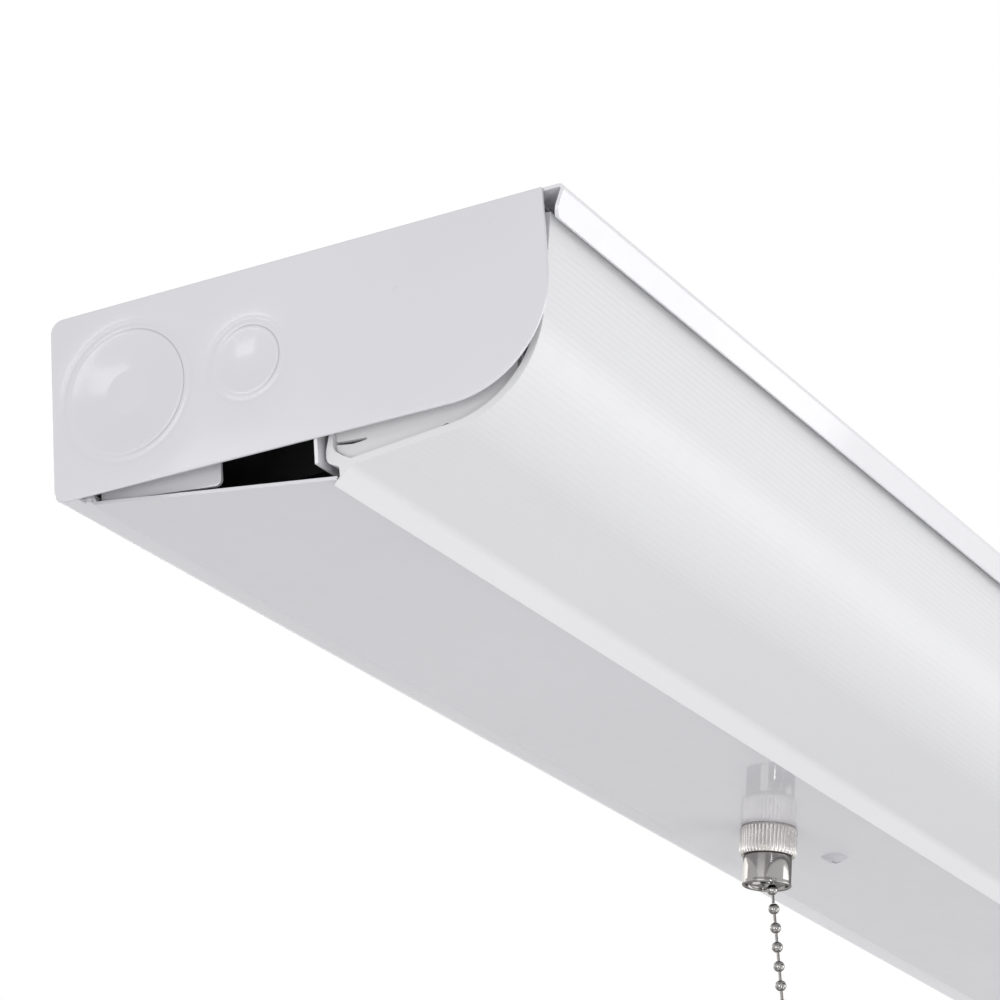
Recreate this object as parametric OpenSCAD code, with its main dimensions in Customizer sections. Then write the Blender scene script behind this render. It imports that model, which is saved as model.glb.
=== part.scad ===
// Fluorescent flush mount ceiling light with a pull chain, for one 18 inch T8 lamp.
// X runs along the lamp, +Y is the ballast side, +Z is up. The origin is the middle of the
// top face, which lies against the ceiling, so all of the light hangs below z = 0.

/* [Housing] */
// Width from the ballast wall to the corner of the lens lip
body_w = 96.5; // [94:0.5:106]
// Height of the ballast wall and of the end plates
wall_h = 32.9; // [31:0.1:36]
// Thickness of the sheet steel
sheet_t = 0.6; // [0.5:0.05:0.8]
// Width of the strip that the ballast wall turns inward at its foot
strip_w = 5.55; // [5:0.1:8]
// Outside radius of the bends in the channel
bend_r = 1.5; // [1:0.1:2]
// How far the lens lip hangs below the ceiling plate
lip_drop = 5.3; // [4.5:0.1:5.4]
// How far the lens lip leans inward
lip_in = 2.3; // [2:0.1:2.5]
// Radius of the rounded ends of the lens lip
lip_end_r = 2.2; // [1:0.1:2.5]

/* [End plates] */
// From the corner of the lens lip in to the edge of an end plate
end_set = 4.05; // [2.5:0.05:5.5]
// Radius of the large corner on the lens side
end_corner_r = 18.8; // [15:0.2:24]
// Radius of the small corners on the ballast side
end_small_r = 2.4; // [1:0.1:3]
// Depth of the weld flanges inside the channel
weld_flange = 8; // [5:0.5:10]
// From the end plate's outer face to the ends of the cover and the lens
end_gap = 2.4; // [1.5:0.1:2.8]
// From the end plate's outer face to the wireway baffle behind it
baffle_set = 4; // [3.6:0.1:4.6]

/* [Knockouts] */
// Diameter of the large knockout in an end plate
ko_big_d = 22.2; // [18:0.2:24]
// Distance of the large knockout from the ballast wall
ko_big_y = 14.4; // [13.6:0.1:17]
// Diameter of the small knockout in an end plate
ko_small_d = 12; // [9:0.2:14]
// Distance of the small knockout from the ballast wall
ko_small_y = 37.5; // [36:0.5:44]
// Distance of both knockouts below the ceiling
ko_z = 16.2; // [15:0.1:18]
// Width of the scored ring round a knockout
ko_score_w = 0.4; // [0.3:0.05:0.6]
// Depth of the scored ring
ko_score_d = 0.3; // [0.2:0.05:0.4]
// Width of a tie that holds the knockout
ko_tie_w = 2.6; // [1.5:0.1:4]

/* [Cover] */
// From the corner of the lens lip in to the cover's free edge
lens_reach = 44.75; // [44:0.25:46]
// Slope of the cover, down toward the lens
cover_slope = 7.75; // [6:0.25:9]
// How far the cover's face hangs below the strip where they meet
cover_proud = 0.78; // [0.6:0.02:1]
// Side clearance between the cover and the strip
cover_gap = 0.15; // [0.1:0.05:0.3]

/* [Wireway wall] */
// From the cover's free edge back to the wall between wireway and lamp
partition_set = 2.9; // [2.6:0.1:3.6]
// Gap between that wall's foot and the cover
partition_gap = 1.8; // [1:0.1:2.5]
// Width of the wall's weld flange under the ceiling plate
partition_flange = 9; // [6:0.5:12]

/* [Lens] */
// Thickness of the lens skin
lens_t = 1.2; // [1:0.05:1.4]
// Radius of the round side of the lens, outside
lens_r = 19; // [17:0.25:21]
// Slope of the flat underside of the lens
lens_slope = 5.2; // [4.5:0.1:6.5]
// Lean of the upright side of the lens
lens_lean = 8.6; // [7.5:0.1:9.5]
// Depth of the top edge of the lens below the ceiling
lens_top = 3.6; // [3.4:0.05:4]
// From the lip's lower edge in to the top edge of the lens
lens_lip_gap = 1.6; // [1.5:0.05:1.9]
// Height of the inner leg above the cover's free edge
leg_h = 8.4; // [7.6:0.1:9]
// Thickness of the inner leg at its top
leg_t = 0.6; // [0.5:0.05:0.9]
// From the end of the lens in to its end wall
end_wall_set = 1; // [0.8:0.1:1.6]
// Thickness of the lens's end walls
end_wall_t = 1; // [0.8:0.1:1.2]
// Depth of the top of an end wall below the ceiling
end_wall_top = 22; // [20:0.5:28]

/* [Lamp] */
// Length of the lamp between the faces of its end caps
lamp_len = 437.4; // [430:0.2:620]
// Diameter of the glass tube
tube_d = 25.1; // [24.6:0.1:25.6]
// Thickness of the glass
glass_t = 0.8; // [0.6:0.05:1.2]
// Diameter of an end cap
cap_d = 25.8; // [25.6:0.1:26.4]
// Length of an end cap
cap_len = 10; // [7:0.5:14]
// Diameter of a lamp pin
pin_d = 2.35; // [2.2:0.05:2.45]
// Length of a lamp pin
pin_len = 7.1; // [6.6:0.1:7.4]
// Distance between the pins of a cap
pin_gap = 12.7; // [12.2:0.1:13]
// From the cover's free edge out to the lamp's axis
lamp_out = 21; // [19.5:0.25:21.5]
// Depth of the lamp's axis below the ceiling
lamp_down = 19; // [18.5:0.1:19.4]

/* [Lampholders] */
// Thickness of a lampholder along the lamp
holder_t = 10.5; // [10:0.1:11.2]
// Gap between the lamp cap and the face of the lampholder
face_gap = 0.5; // [0.4:0.1:1]
// Radius of a lampholder's round head
holder_r = 11.3; // [11:0.1:11.5]
// Radius of the turning rotor
rotor_r = 9; // [8.8:0.1:9.4]
// Running clearance of the rotor and of the pins in its slot
rotor_gap = 0.3; // [0.25:0.05:0.4]
// How far a pin reaches past the rotor's disc
pin_past = 0.7; // [0.5:0.1:1]

/* [Ballast] */
// Length of the ballast can
ballast_len = 188; // [150:2:196]
// From the ballast wall's outer face to the ballast can
ballast_side = 5.35; // [3:0.05:12]
// Height of the ballast can
ballast_h = 28.5; // [22:0.5:29]
// Radius of the can's long lower edges
ballast_r = 3; // [1:0.25:5]
// Length of a mounting foot beyond the can
foot_len = 9; // [8:0.5:12]
// From the end plate's outer face to the ballast can
ballast_set = 22; // [20:0.5:30]

/* [Pull switch] */
// Distance of the switch from the ballast wall
switch_y = 27.45; // [26:0.25:31]
// Width and depth of the switch body
switch_w = 20; // [18:0.5:22]
// Height of the switch body
switch_h = 21; // [18:0.5:23]
// Outside radius of the threaded bushing
bushing_r = 4.7; // [4.5:0.05:4.9]
// Radius of the bore through the bushing
bushing_bore_r = 3.4; // [3.2:0.05:3.6]
// Outside radius of the knurled nut
nut_r = 6.1; // [5.8:0.1:7]
// Height of the knurled nut
nut_h = 6.3; // [5:0.1:7]
// Number of ridges on the knurled nut
nut_ridges = 44; // [30:2:60]
// Outside radius of the chain ferrule
ferrule_r = 5.15; // [5.05:0.05:5.6]
// Height of the chain ferrule below the nut
ferrule_h = 7.2; // [6:0.1:9]
// Clearance between the switch's fitted rings
ring_gap = 0.05; // [0.03:0.01:0.08]

/* [Pull chain] */
// Diameter of a bead
bead_d = 2.35; // [2:0.05:2.6]
// Distance from bead to bead
bead_pitch = 4.15; // [3.6:0.05:4.6]
// Number of beads that hang below the ferrule
bead_count = 34; // [10:1:60]
// Radius of the link wire between two beads
link_r = 0.38; // [0.3:0.02:0.5]
// Largest radius of the bell at the chain's end
bell_r = 3.2; // [2.5:0.1:5]
// Height of the bell
bell_h = 9; // [7:0.5:14]

/* [Mounting] */
// Distance between the two mounting slots
slot_pitch = 300; // [250:10:340]
// Length of a mounting slot from end to end
slot_len = 14; // [10:1:20]
// Width of a mounting slot
slot_w = 5.2; // [4.4:0.2:6.4]
// Distance of the mounting slots from the middle, toward the lip
slot_y = 14; // [12:0.5:18]
// Diameter of the supply hole in the ceiling plate
supply_d = 22.2; // [20:0.2:23]
// Distance of the supply hole from the middle, along the light
supply_x = 70; // [60:1:80]
// Distance of the supply hole from the middle, toward the ballast wall
supply_y = 24; // [21:0.5:27]

/* [Hidden] */
$fn = 48;

white = "gainsboro";
bend_steps = 5;
wall_clear = 0.3;
curve_steps = 16;

// Places along the light
x_face = lamp_len / 2 + face_gap;
x_socket = x_face + holder_t + sheet_t;
x_wall = x_socket + wall_clear + end_wall_t;
x_cut = x_wall + end_wall_set;
x_end = x_cut + end_gap;
x_in = x_end - sheet_t;
x_baffle = x_end - baffle_set;

// A depth below the whole of the body
z_under = -2 * wall_h;

// The ballast's ends, and the switch halfway along or just clear of the ballast
ear_t = 1.2;
switch_gap = 3;
ballast_x0 = -x_end + ballast_set;
ballast_x1 = ballast_x0 + ballast_len;
switch_x = max(0, ballast_x1 + foot_len + switch_gap + ear_t + switch_w / 2);

// Places across the light
y_wall = body_w / 2;
y_strip = y_wall - strip_w;
y_ridge = -y_wall + lens_reach;
y_part = y_ridge + partition_set;
y_lip = -y_wall + lip_in;
y_lamp = y_ridge - lamp_out;

// The cover's outer face at y, and its free edge
function cover_z(y) = -wall_h - cover_proud - tan(cover_slope) * (y_strip - y);
function cover_top(y) = cover_z(y) + sheet_t / cos(cover_slope);
ridge = [y_ridge, cover_z(y_ridge)];

function unit(v) = v / norm(v);
function left_of(v) = [-v[1], v[0]];
function cross2(a, b) = a[0] * b[1] - a[1] * b[0];
function meet(p, d, q, e) = p + d * cross2(q - p, e) / cross2(d, e);
function flip(list) = [for (i = [len(list) - 1 : -1 : 0]) list[i]];

// Corner b of the path a-b-c, replaced by an arc of radius r in n steps
function corner_arc(a, b, c, r, n) =
    let (u = unit(a - b), v = unit(c - b), half = acos(u * v) / 2,
         centre = b + unit(u + v) * r / sin(half),
         from = b + u * r / tan(half) - centre,
         turn = (180 - 2 * half) * sign(cross2(b - a, c - b)))
    [for (i = [0 : n]) let (t = turn * i / n)
        centre + [from[0] * cos(t) - from[1] * sin(t), from[0] * sin(t) + from[1] * cos(t)]];

// A path with each inner corner rounded by its own radius, and 0 for a sharp one
function rounded(path, radii, n) = concat(
    [path[0]],
    [for (i = [1 : len(path) - 2])
        each radii[i - 1] > 0 ? corner_arc(path[i - 1], path[i], path[i + 1], radii[i - 1], n)
                              : [path[i]]],
    [path[len(path) - 1]]);

// The same path, moved to its left by t with mitred corners
function beside(path, t) =
    [for (i = [0 : len(path) - 1])
        let (n1 = left_of(unit(i > 0 ? path[i] - path[i - 1] : path[1] - path[0])),
             n2 = left_of(unit(i < len(path) - 1 ? path[i + 1] - path[i]
                                                 : path[i] - path[i - 1])))
        path[i] + t * (n1 + n2) / (1 + n1 * n2)];

// The outline of a bent sheet whose outer face follows a path
module bent_sheet(path, t) {
    polygon(concat(path, flip(beside(path, t))));
}

// A section drawn in Y and Z, carried along X
module along_x(length) {
    rotate([90, 0, 90]) linear_extrude(length, center = true) children();
}

// A section drawn in Y and Z, from x = from to x = to
module between_x(from, to) {
    translate([from, 0, 0]) rotate([90, 0, 90]) linear_extrude(to - from) children();
}

module at_end(side) {
    if (side < 0) children();
    if (side > 0) mirror([1, 0, 0]) children();
}

module box(low, high) {
    translate(low) cube(high - low);
}

// A round wire through a list of points
module wire(points, r) {
    for (i = [0 : len(points) - 2]) {
        step = points[i + 1] - points[i];
        translate(points[i])
            rotate([0, acos(step[2] / norm(step)), atan2(step[1], step[0])])
                cylinder(h = norm(step), r = r, $fn = 24);
    }
    for (i = [1 : len(points) - 2])
        translate(points[i]) rotate([35, 25, 50]) sphere(r = r + 0.04, $fn = 24);
}

// Ceiling channel: ceiling plate, ballast wall with its strip, and the lens lip
channel_path = rounded(
    [[y_strip, -wall_h], [y_wall, -wall_h], [y_wall, 0], [-y_wall, 0], [y_lip, -lip_drop]],
    [bend_r, bend_r, sheet_t + 0.3], bend_steps);
strip_relief = 1.2;

module slot(length, width) {
    for (x = [-1, 1] * (length - width) / 2)
        translate([x, 0, -sheet_t - 1]) cylinder(h = sheet_t + 2, d = width);
    box([-(length - width) / 2, -width / 2, -sheet_t - 1],
        [(length - width) / 2, width / 2, 1]);
}

// What is taken off the corner of the lip at one end
module lip_corner_cut() {
    reach = lip_drop + 1;
    translate([-x_in + lip_end_r, -y_wall - 1, -lip_drop + lip_end_r]) rotate([-90, 0, 0])
        difference() {
            translate([-lip_end_r - 1, 0, 0]) cube([lip_end_r + 1, reach, lip_in + 1.9]);
            translate([0, 0, -1]) cylinder(h = lip_in + 4, r = lip_end_r);
        }
}

module ceiling_channel() color(white) difference() {
    along_x(2 * x_in) bent_sheet(channel_path, sheet_t);
    for (x = [-1, 1] * slot_pitch / 2) translate([x, -slot_y, 0]) slot(slot_len, slot_w);
    translate([supply_x, supply_y, -sheet_t - 1]) cylinder(h = sheet_t + 2, d = supply_d);
    translate([ground_x, ground_y, -sheet_t - 1])
        cylinder(h = sheet_t + 2, r = screw_r + ring_gap);
    for (side = [-1, 1]) at_end(side) {
        lip_corner_cut();
        box([-x_in - 1, y_strip - 1, -wall_h - 1],
            [-x_in + 2.2, y_strip + strip_relief, -wall_h + sheet_t + 0.01]);
    }
}

// End plates
end_edge = -y_wall + end_set;

module end_outline() difference() {
    polygon(rounded(
        [[end_edge, -1], [end_edge, -wall_h], [y_wall, -wall_h], [y_wall, 0], [end_edge, 0],
         [end_edge, -1]],
        [end_corner_r, end_small_r, end_small_r, 0], curve_steps));
}

// A scored ring with two ties, cut into the outer face
module knockout(y, diameter, tilt) {
    translate([-x_end, y_wall - y, -ko_z]) rotate([tilt, 0, 0]) rotate([0, 90, 0])
        difference() {
            translate([0, 0, -1]) cylinder(h = 1 + ko_score_d, d = diameter + 2 * ko_score_w);
            translate([0, 0, -2]) cylinder(h = 4, d = diameter);
            translate([-diameter, -ko_tie_w / 2, -2]) cube([2 * diameter, ko_tie_w, 4]);
        }
}

module end_plate(side) color(white) at_end(side) {
    difference() {
        between_x(-x_end, -x_in) end_outline();
        knockout(ko_big_y, ko_big_d, 20);
        knockout(ko_small_y, ko_small_d, 75);
    }
    flange_in = -x_in + weld_flange;
    under = -2 * sheet_t;
    box([-x_in, y_part + 1, under], [flange_in, y_wall - bend_r - 2, -sheet_t]);
    box([-x_in, end_edge + 2, under], [flange_in, y_part - sheet_t - 1, -sheet_t]);
    box([-x_in, y_wall - 2 * sheet_t, -wall_h + bend_r + 4],
        [flange_in, y_wall - sheet_t, -bend_r - 2]);
}

module end_plate_left() end_plate(-1);
module end_plate_right() end_plate(1);

// Wall between wireway and lamp, with a weld flange under the ceiling plate
part_foot = cover_top(y_part) + partition_gap;
part_end = x_in - 0.1;
lead_hole_z = -7;

module wireway_partition() color(white) difference() {
    union() {
        along_x(2 * part_end)
            polygon([[y_part - sheet_t, part_foot], [y_part, part_foot],
                     [y_part, -sheet_t], [y_part - sheet_t, -sheet_t]]);
        box([-x_in + weld_flange + 1, y_part, -2 * sheet_t],
            [x_in - weld_flange - 1, y_part + partition_flange, -sheet_t]);
    }
    for (side = [-1, 1]) translate([side * lead_x, y_part - 2, lead_hole_z])
        rotate([-90, 0, 0]) cylinder(h = 4, r = 3.2);
}

// Lens, an extruded profile whose foot and lip hold the cover's free edge between them
lens_knee = ridge + [-2.7, 1.87];
knee_r = 3;
lip_corner = [0.45, -0.93];
lens_tip = [y_lip + lens_lip_gap, -lens_top];
lens_corner = meet(lens_knee, [-cos(lens_slope), sin(lens_slope)],
                   lens_tip, [sin(lens_lean), -cos(lens_lean)]);
lens_path = rounded([lens_tip, lens_corner, lens_knee, ridge + lip_corner],
                    [lens_r, knee_r], curve_steps);
leg_face = 0.32;

// From the lip round the cover's edge, up one side of the leg and down the other
foot_points = [
    lip_corner + [-0.02, 0.16], [0.1, -0.22], [-0.3, 0.02], [-0.6, 0.4], [-0.57, 1.81],
    [-0.46, 2.1], [-0.2, 2.3], [1.07, 2.94], [1.5, 3.4], [1.72, 4.09], [1.68, 5.32],
    [1.26, 6.97], [leg_face + leg_t, leg_h], [leg_face, leg_h], [0.34, 6.97], [0.4, 5.75],
    [0.05, 4.93], [-1.33, 3.85], [-2.73, 3.07]
];

// The skin's inside, from its top edge to the end of the round corner
lens_inside = [for (i = [0 : curve_steps + 1]) beside(lens_path, lens_t)[i]];

module lens_outline() polygon(concat(
    lens_path, [for (point = foot_points) ridge + point], flip(lens_inside)));

module lens() color("ivory", 0.75) along_x(2 * x_cut) lens_outline();

// End wall that closes the end of the lens, with a slit beside the leg and a small notch
glue_gap = 0.04;
wall_right = y_lamp - 11.8;
wall_slit = [[-2.4, -33], [-4.95, -33.28], [-8.73, -33.55], [-8.84, -33.87], [-7.8, -34.01],
             [-6.2, -34.08], [-4.4, -33.82], [-2.4, -33.4]];
wall_notch = [[-22.2, -36.5], [-22.5, -34.85], [-23.2, -34.62], [-24.4, -34.95],
              [-25, -36.5]];

module lens_wall_outline() difference() {
    intersection() {
        polygon(concat([[0, 0], [lens_tip[0], 0]],
                       beside(lens_path, lens_t + glue_gap), [[0, ridge[1]]]));
        translate([wall_right, z_under])
            square([y_ridge + leg_face - glue_gap - wall_right, -z_under - end_wall_top]);
    }
    translate([-glue_gap, glue_gap]) lens_outline();
    translate(ridge) polygon([[-2.6, 3], [0, 5], [3, 5], [3, -3], [-2.6, -3]]);
    polygon(wall_slit);
    polygon(wall_notch);
}

module lens_end(side) color("ivory", 0.75) at_end(side)
    between_x(-x_wall, -x_wall + end_wall_t) lens_wall_outline();

module lens_end_left() lens_end(-1);
module lens_end_right() lens_end(1);

// Inner plate that carries a lampholder
plate_gap = 0.5;
leg_sweep = leg_h + 0.7;
socket_left = y_part - sheet_t - 0.5;
socket_right = y_lamp - holder_r - 1;
plate_flange = 12;

module socket_outline() difference() {
    inner = beside(lens_path, lens_t + plate_gap);
    intersection() {
        polygon(concat([[0, 0], [lens_tip[0], 0]], inner, [[0, ridge[1] + 4]]));
        translate([socket_right, z_under])
            square([socket_left - socket_right, -z_under - 2 * sheet_t]);
    }
    translate(ridge) circle(r = leg_sweep);
    translate([y_lamp - 4, -15]) square([8, 5]);
}

module socket_plate(side) color(white) at_end(side) {
    between_x(-x_socket, -x_socket + sheet_t) socket_outline();
    box([-x_socket, socket_right, -3 * sheet_t], [-x_socket + plate_flange, socket_left, -2 * sheet_t]);
}

module socket_plate_left() socket_plate(-1);
module socket_plate_right() socket_plate(1);

// Inner plate behind the wireway's end, cut above the slope of the cover
baffle_edge = y_part + 19.2;
baffle_wall = y_wall - 2 * sheet_t - 0.35;
baffle_tilt = 5.9;
baffle_gap = 0.35;

function baffle_low(y) = cover_top(y_strip) + baffle_gap - tan(baffle_tilt) * (y_strip - y);

module wireway_baffle(side) color(white) at_end(side) {
    step_y = y_strip - 1.2;
    between_x(-x_baffle, -x_baffle + sheet_t) polygon(rounded(
        [[baffle_edge, -6], [baffle_edge, baffle_low(baffle_edge)],
         [step_y, baffle_low(step_y)], [step_y, -wall_h + 2 * sheet_t + 0.5],
         [baffle_wall, -wall_h + 2 * sheet_t + 0.5],
         [baffle_wall, -2 * sheet_t], [baffle_edge, -2 * sheet_t], [baffle_edge, -6]],
        [1.1, 0, 0, 0, 0, 0], bend_steps));
    box([-x_baffle, baffle_edge, -3 * sheet_t],
        [-x_baffle + 7, baffle_wall - 3, -2 * sheet_t]);
}

module wireway_baffle_left() wireway_baffle(-1);
module wireway_baffle_right() wireway_baffle(1);

// Sloping cover, whose bent edge rests on the strip
cover_path = rounded(
    [ridge, [y_strip - cover_gap - 0.6, cover_z(y_strip - cover_gap - 0.6)],
     [y_strip - cover_gap, -wall_h + sheet_t], [y_wall - sheet_t - 0.6, -wall_h + sheet_t]],
    [0, 0], bend_steps);
switch_at = [switch_x, y_wall - switch_y, cover_z(y_wall - switch_y)];
screw_x = switch_x + 29;
screw_y = y_part + 18.25;
screw_r = 1.75;

// Places its children on the cover's outer face, with +Z along the inward normal
module on_cover(place) {
    translate(place) rotate([cover_slope, 0, 0]) children();
}

screw_at = [screw_x, screw_y, cover_z(screw_y)];

module wireway_cover() color(white) difference() {
    along_x(2 * x_cut) bent_sheet(cover_path, sheet_t);
    on_cover(switch_at) translate([0, 0, -1]) cylinder(h = 3, r = bushing_r + ring_gap);
    on_cover(screw_at) translate([0, 0, -1]) cylinder(h = 3, r = screw_r + 0.3);
}

// Low domed screw that holds the cover to the strap
module cover_screw() color(white) on_cover(screw_at) {
    dome_r = 3.1;
    dome_h = 1.1;
    ball = (dome_r * dome_r + dome_h * dome_h) / (2 * dome_h);
    difference() {
        intersection() {
            translate([0, 0, ball - dome_h]) sphere(r = ball);
            translate([0, 0, -dome_h]) cylinder(h = dome_h, r = dome_r);
        }
        for (turn = [0, 90]) rotate([0, 0, turn])
            translate([-1.3, -0.25, -dome_h - 0.1]) cube([2.6, 0.5, 0.6]);
    }
    cylinder(h = strap_rise + sheet_t + 1.4, r = screw_r);
}

// Strap from the ceiling plate down to the cover, with a tapped foot for the screw
strap_w = 12;
strap_rise = sheet_t + 0.3;
strap_top = -sheet_t;

module cover_strap() color(white) {
    foot_low = screw_y - 8;
    foot_high = screw_y + 6;
    x0 = screw_x - strap_w / 2;
    x1 = screw_x + strap_w / 2;
    difference() {
        on_cover(screw_at) translate([-strap_w / 2, -8, strap_rise])
            cube([strap_w, 14, sheet_t]);
        on_cover(screw_at) cylinder(h = 6, r = screw_r + ring_gap);
    }
    between_x(x0, x1) polygon([
        [foot_low - 0.2, cover_top(foot_low) + 0.35],
        [foot_low - 0.2, strap_top], [foot_low + sheet_t - 0.2, strap_top],
        [foot_low + sheet_t - 0.2, cover_top(foot_low) + 0.6]]);
    box([x0, foot_low - 0.2, strap_top - sheet_t], [x1, foot_high, strap_top]);
}

// Ballast can with rounded lower edges, and its base with slotted feet
ballast_clear = 5.5;
ballast_y0 = y_part + ballast_clear;
ballast_w = y_wall - ballast_side - ballast_y0;
ballast_base_t = 1;
ballast_top = -sheet_t - ballast_base_t;
ballast_low = -sheet_t - ballast_h;

can_t = 0.8;
core_gap = 0.3;

// Section of the can, inset by a distance from its outside
module can_section(inset) {
    y0 = ballast_y0 + inset;
    y1 = ballast_y0 + ballast_w - inset;
    polygon(rounded(
        [[y0, -8], [y0, ballast_low + inset], [y1, ballast_low + inset],
         [y1, ballast_top], [y0, ballast_top], [y0, -8]],
        [max(ballast_r - inset, 0.2), max(ballast_r - inset, 0.2), 0, 0], bend_steps));
}

module ballast_can() color("#17181a") difference() {
    between_x(ballast_x0, ballast_x1) can_section(0);
    difference() {
        between_x(ballast_x0 + can_t, ballast_x1 - can_t) can_section(can_t);
        box([ballast_x0, ballast_y0, ballast_top - can_t], [ballast_x1, y_wall, 0]);
    }
}

module ballast_core() color("#3a3128") intersection() {
    between_x(ballast_x0 + can_t + core_gap, ballast_x1 - can_t - core_gap)
        can_section(can_t + core_gap);
    box([ballast_x0, ballast_y0, -wall_h],
        [ballast_x1, y_wall, ballast_top - can_t - core_gap]);
}

module ballast_base() color("#17181a") difference() {
    box([ballast_x0 - foot_len, ballast_y0 + 3.5, ballast_top],
        [ballast_x1 + foot_len, ballast_y0 + ballast_w, -sheet_t]);
    for (x = ballast_holes) translate([x, ballast_hole_y, ballast_top - 1])
        cylinder(h = ballast_base_t + 2, r = screw_r + ring_gap);
}

ballast_holes = [ballast_x0 - foot_len / 2, ballast_x1 + foot_len / 2];
ballast_hole_y = ballast_y0 + ballast_w / 2 + 1.75;

// Pan screws: a slotted round head under a short shank
module pan_screw(head_r, shank) {
    difference() {
        translate([0, 0, -1.8]) cylinder(h = 1.8, r = head_r);
        translate([-head_r, -0.4, -2.3]) cube([2 * head_r, 0.8, 1.2]);
    }
    cylinder(h = shank, r = screw_r);
}

module ballast_screws() color("silver") for (x = ballast_holes)
    translate([x, ballast_hole_y, ballast_top]) pan_screw(3, ballast_base_t);

ground_x = 118;
ground_y = y_wall - 14.25;

module ground_screw() color("green")
    translate([ground_x, ground_y, -sheet_t]) pan_screw(3.4, sheet_t);

// Depths in a lampholder from its face: pins, rotor disc, slot, hub and recess
pin_reach = pin_len - face_gap;
disc_depth = pin_reach - pin_past;
slot_depth = pin_reach + 0.2;
hub_depth = slot_depth + 0.8;
recess = hub_depth + 0.2;
hub_r = (pin_gap - pin_d) / 2 - 0.9;

// Lampholder with a round recess for its rotor and a slot that lets the pins in
slot_half = pin_d / 2 + rotor_gap + 0.3;

module lampholder(side) color("white") at_end(side) difference() {
    between_x(-x_socket + sheet_t, -x_face) union() {
        translate([y_lamp, -lamp_down]) circle(r = holder_r);
        polygon([[y_lamp - holder_r, -lamp_down], [y_lamp + holder_r, -lamp_down],
                 [y_lamp + holder_r + 1, -3 * sheet_t],
                 [y_lamp - holder_r - 1, -3 * sheet_t]]);
    }
    translate([-x_face - recess, y_lamp, -lamp_down]) rotate([0, 90, 0])
        cylinder(h = recess + 1, r = rotor_r + rotor_gap);
    box([-x_face - recess, y_lamp - slot_half, -lamp_down - holder_r - 1],
        [-x_face + 1, y_lamp + slot_half, -lamp_down]);
}

module lampholder_left() lampholder(-1);
module lampholder_right() lampholder(1);

// Brass contacts on the floor of the recess, each with a nose behind its pin
module holder_contacts(side) color("goldenrod") at_end(side) for (s = [-1, 1]) {
    leaf_t = 0.3;
    y = y_lamp + s * pin_gap / 2;
    box([-x_face - recess, y - 1.6, -lamp_down - 2.6],
        [-x_face - recess + leaf_t, y + 1.6, -lamp_down + 2.6]);
    box([-x_face - recess + leaf_t / 2, y - 1, -lamp_down - 1],
        [-x_face - pin_reach - 0.1, y + 1, -lamp_down + 1]);
}

module holder_contacts_left() holder_contacts(-1);
module holder_contacts_right() holder_contacts(1);

// Rotor that turns with the lamp: two half discs on a hub, with the pins' slot between them
module rotor(side) color("white") at_end(side) {
    half = pin_d / 2 + rotor_gap;
    step = hub_depth - disc_depth;
    translate([-x_face - hub_depth, y_lamp, -lamp_down]) rotate([0, 90, 0]) difference() {
        union() {
            cylinder(h = step + 1, r = hub_r);
            translate([0, 0, step]) cylinder(h = disc_depth - 0.1, r = rotor_r);
        }
        translate([-half, -rotor_r - 1, hub_depth - slot_depth])
            cube([2 * half, 2 * rotor_r + 2, slot_depth]);
    }
}

module rotor_left() rotor(-1);
module rotor_right() rotor(1);

// Lamp: glass tube, two end caps and their pins
module lamp_tube() color("white") {
    half = lamp_len / 2 - 1.5;
    translate([-half, y_lamp, -lamp_down]) rotate([0, 90, 0]) difference() {
        cylinder(h = 2 * half, d = tube_d);
        translate([0, 0, -1]) cylinder(h = 2 * half + 2, d = tube_d - 2 * glass_t);
    }
}

module lamp_cap(side) color("silver") at_end(side)
    translate([-lamp_len / 2, y_lamp, -lamp_down]) rotate([0, 90, 0]) difference() {
        rotate_extrude() polygon(rounded(
            [[0, 0], [cap_d / 2, 0], [cap_d / 2, cap_len], [0, cap_len]], [1.2, 0],
            bend_steps));
        translate([0, 0, 1.4]) cylinder(h = cap_len, d = tube_d + 2 * ring_gap);
    }

module lamp_cap_left() lamp_cap(-1);
module lamp_cap_right() lamp_cap(1);

module lamp_pins(side) color("gold") at_end(side) for (s = [-1, 1])
    translate([-lamp_len / 2 - pin_len, y_lamp + s * pin_gap / 2, -lamp_down])
        rotate([0, 90, 0]) union() {
            translate([0, 0, pin_d / 4]) cylinder(h = pin_len - pin_d / 4, d = pin_d);
            cylinder(h = pin_d / 4, d1 = pin_d / 2, d2 = pin_d);
        }

module lamp_pins_left() lamp_pins(-1);
module lamp_pins_right() lamp_pins(1);

// Pull switch above the cover, held by its bushing
body_rise = 4.2;
bushing_end = nut_h + 2.2;

module switch_body() color("#222222") on_cover(switch_at) difference() {
    union() {
        translate([-switch_w / 2, -switch_w / 2, body_rise])
            cube([switch_w, switch_w, switch_h]);
        translate([-switch_w / 2 - ear_t, -3, body_rise + 4])
            cube([switch_w + 2 * ear_t, 6, 8]);
    }
    translate([0, 0, body_rise - 1]) cylinder(h = 13, r = bushing_bore_r);
}

module switch_bushing() color("silver") on_cover(switch_at) difference() {
    translate([0, 0, -bushing_end]) cylinder(h = bushing_end + body_rise, r = bushing_r);
    translate([0, 0, -bushing_end - 1])
        cylinder(h = bushing_end + body_rise + 2, r = bushing_bore_r);
}

module ring(low, high, outer, inner) {
    translate([0, 0, low]) difference() {
        cylinder(h = high - low, r = outer);
        translate([0, 0, -1]) cylinder(h = high - low + 2, r = inner);
    }
}

module inner_nut() color("silver") on_cover(switch_at) difference() {
    translate([0, 0, sheet_t + 0.7]) cylinder(h = 2.2, r = 7.2, $fn = 6);
    cylinder(h = 8, r = bushing_r + ring_gap);
}

module lock_washer() color("silver") on_cover(switch_at)
    ring(sheet_t, sheet_t + 0.7, 7.6, bushing_r + ring_gap);

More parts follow.
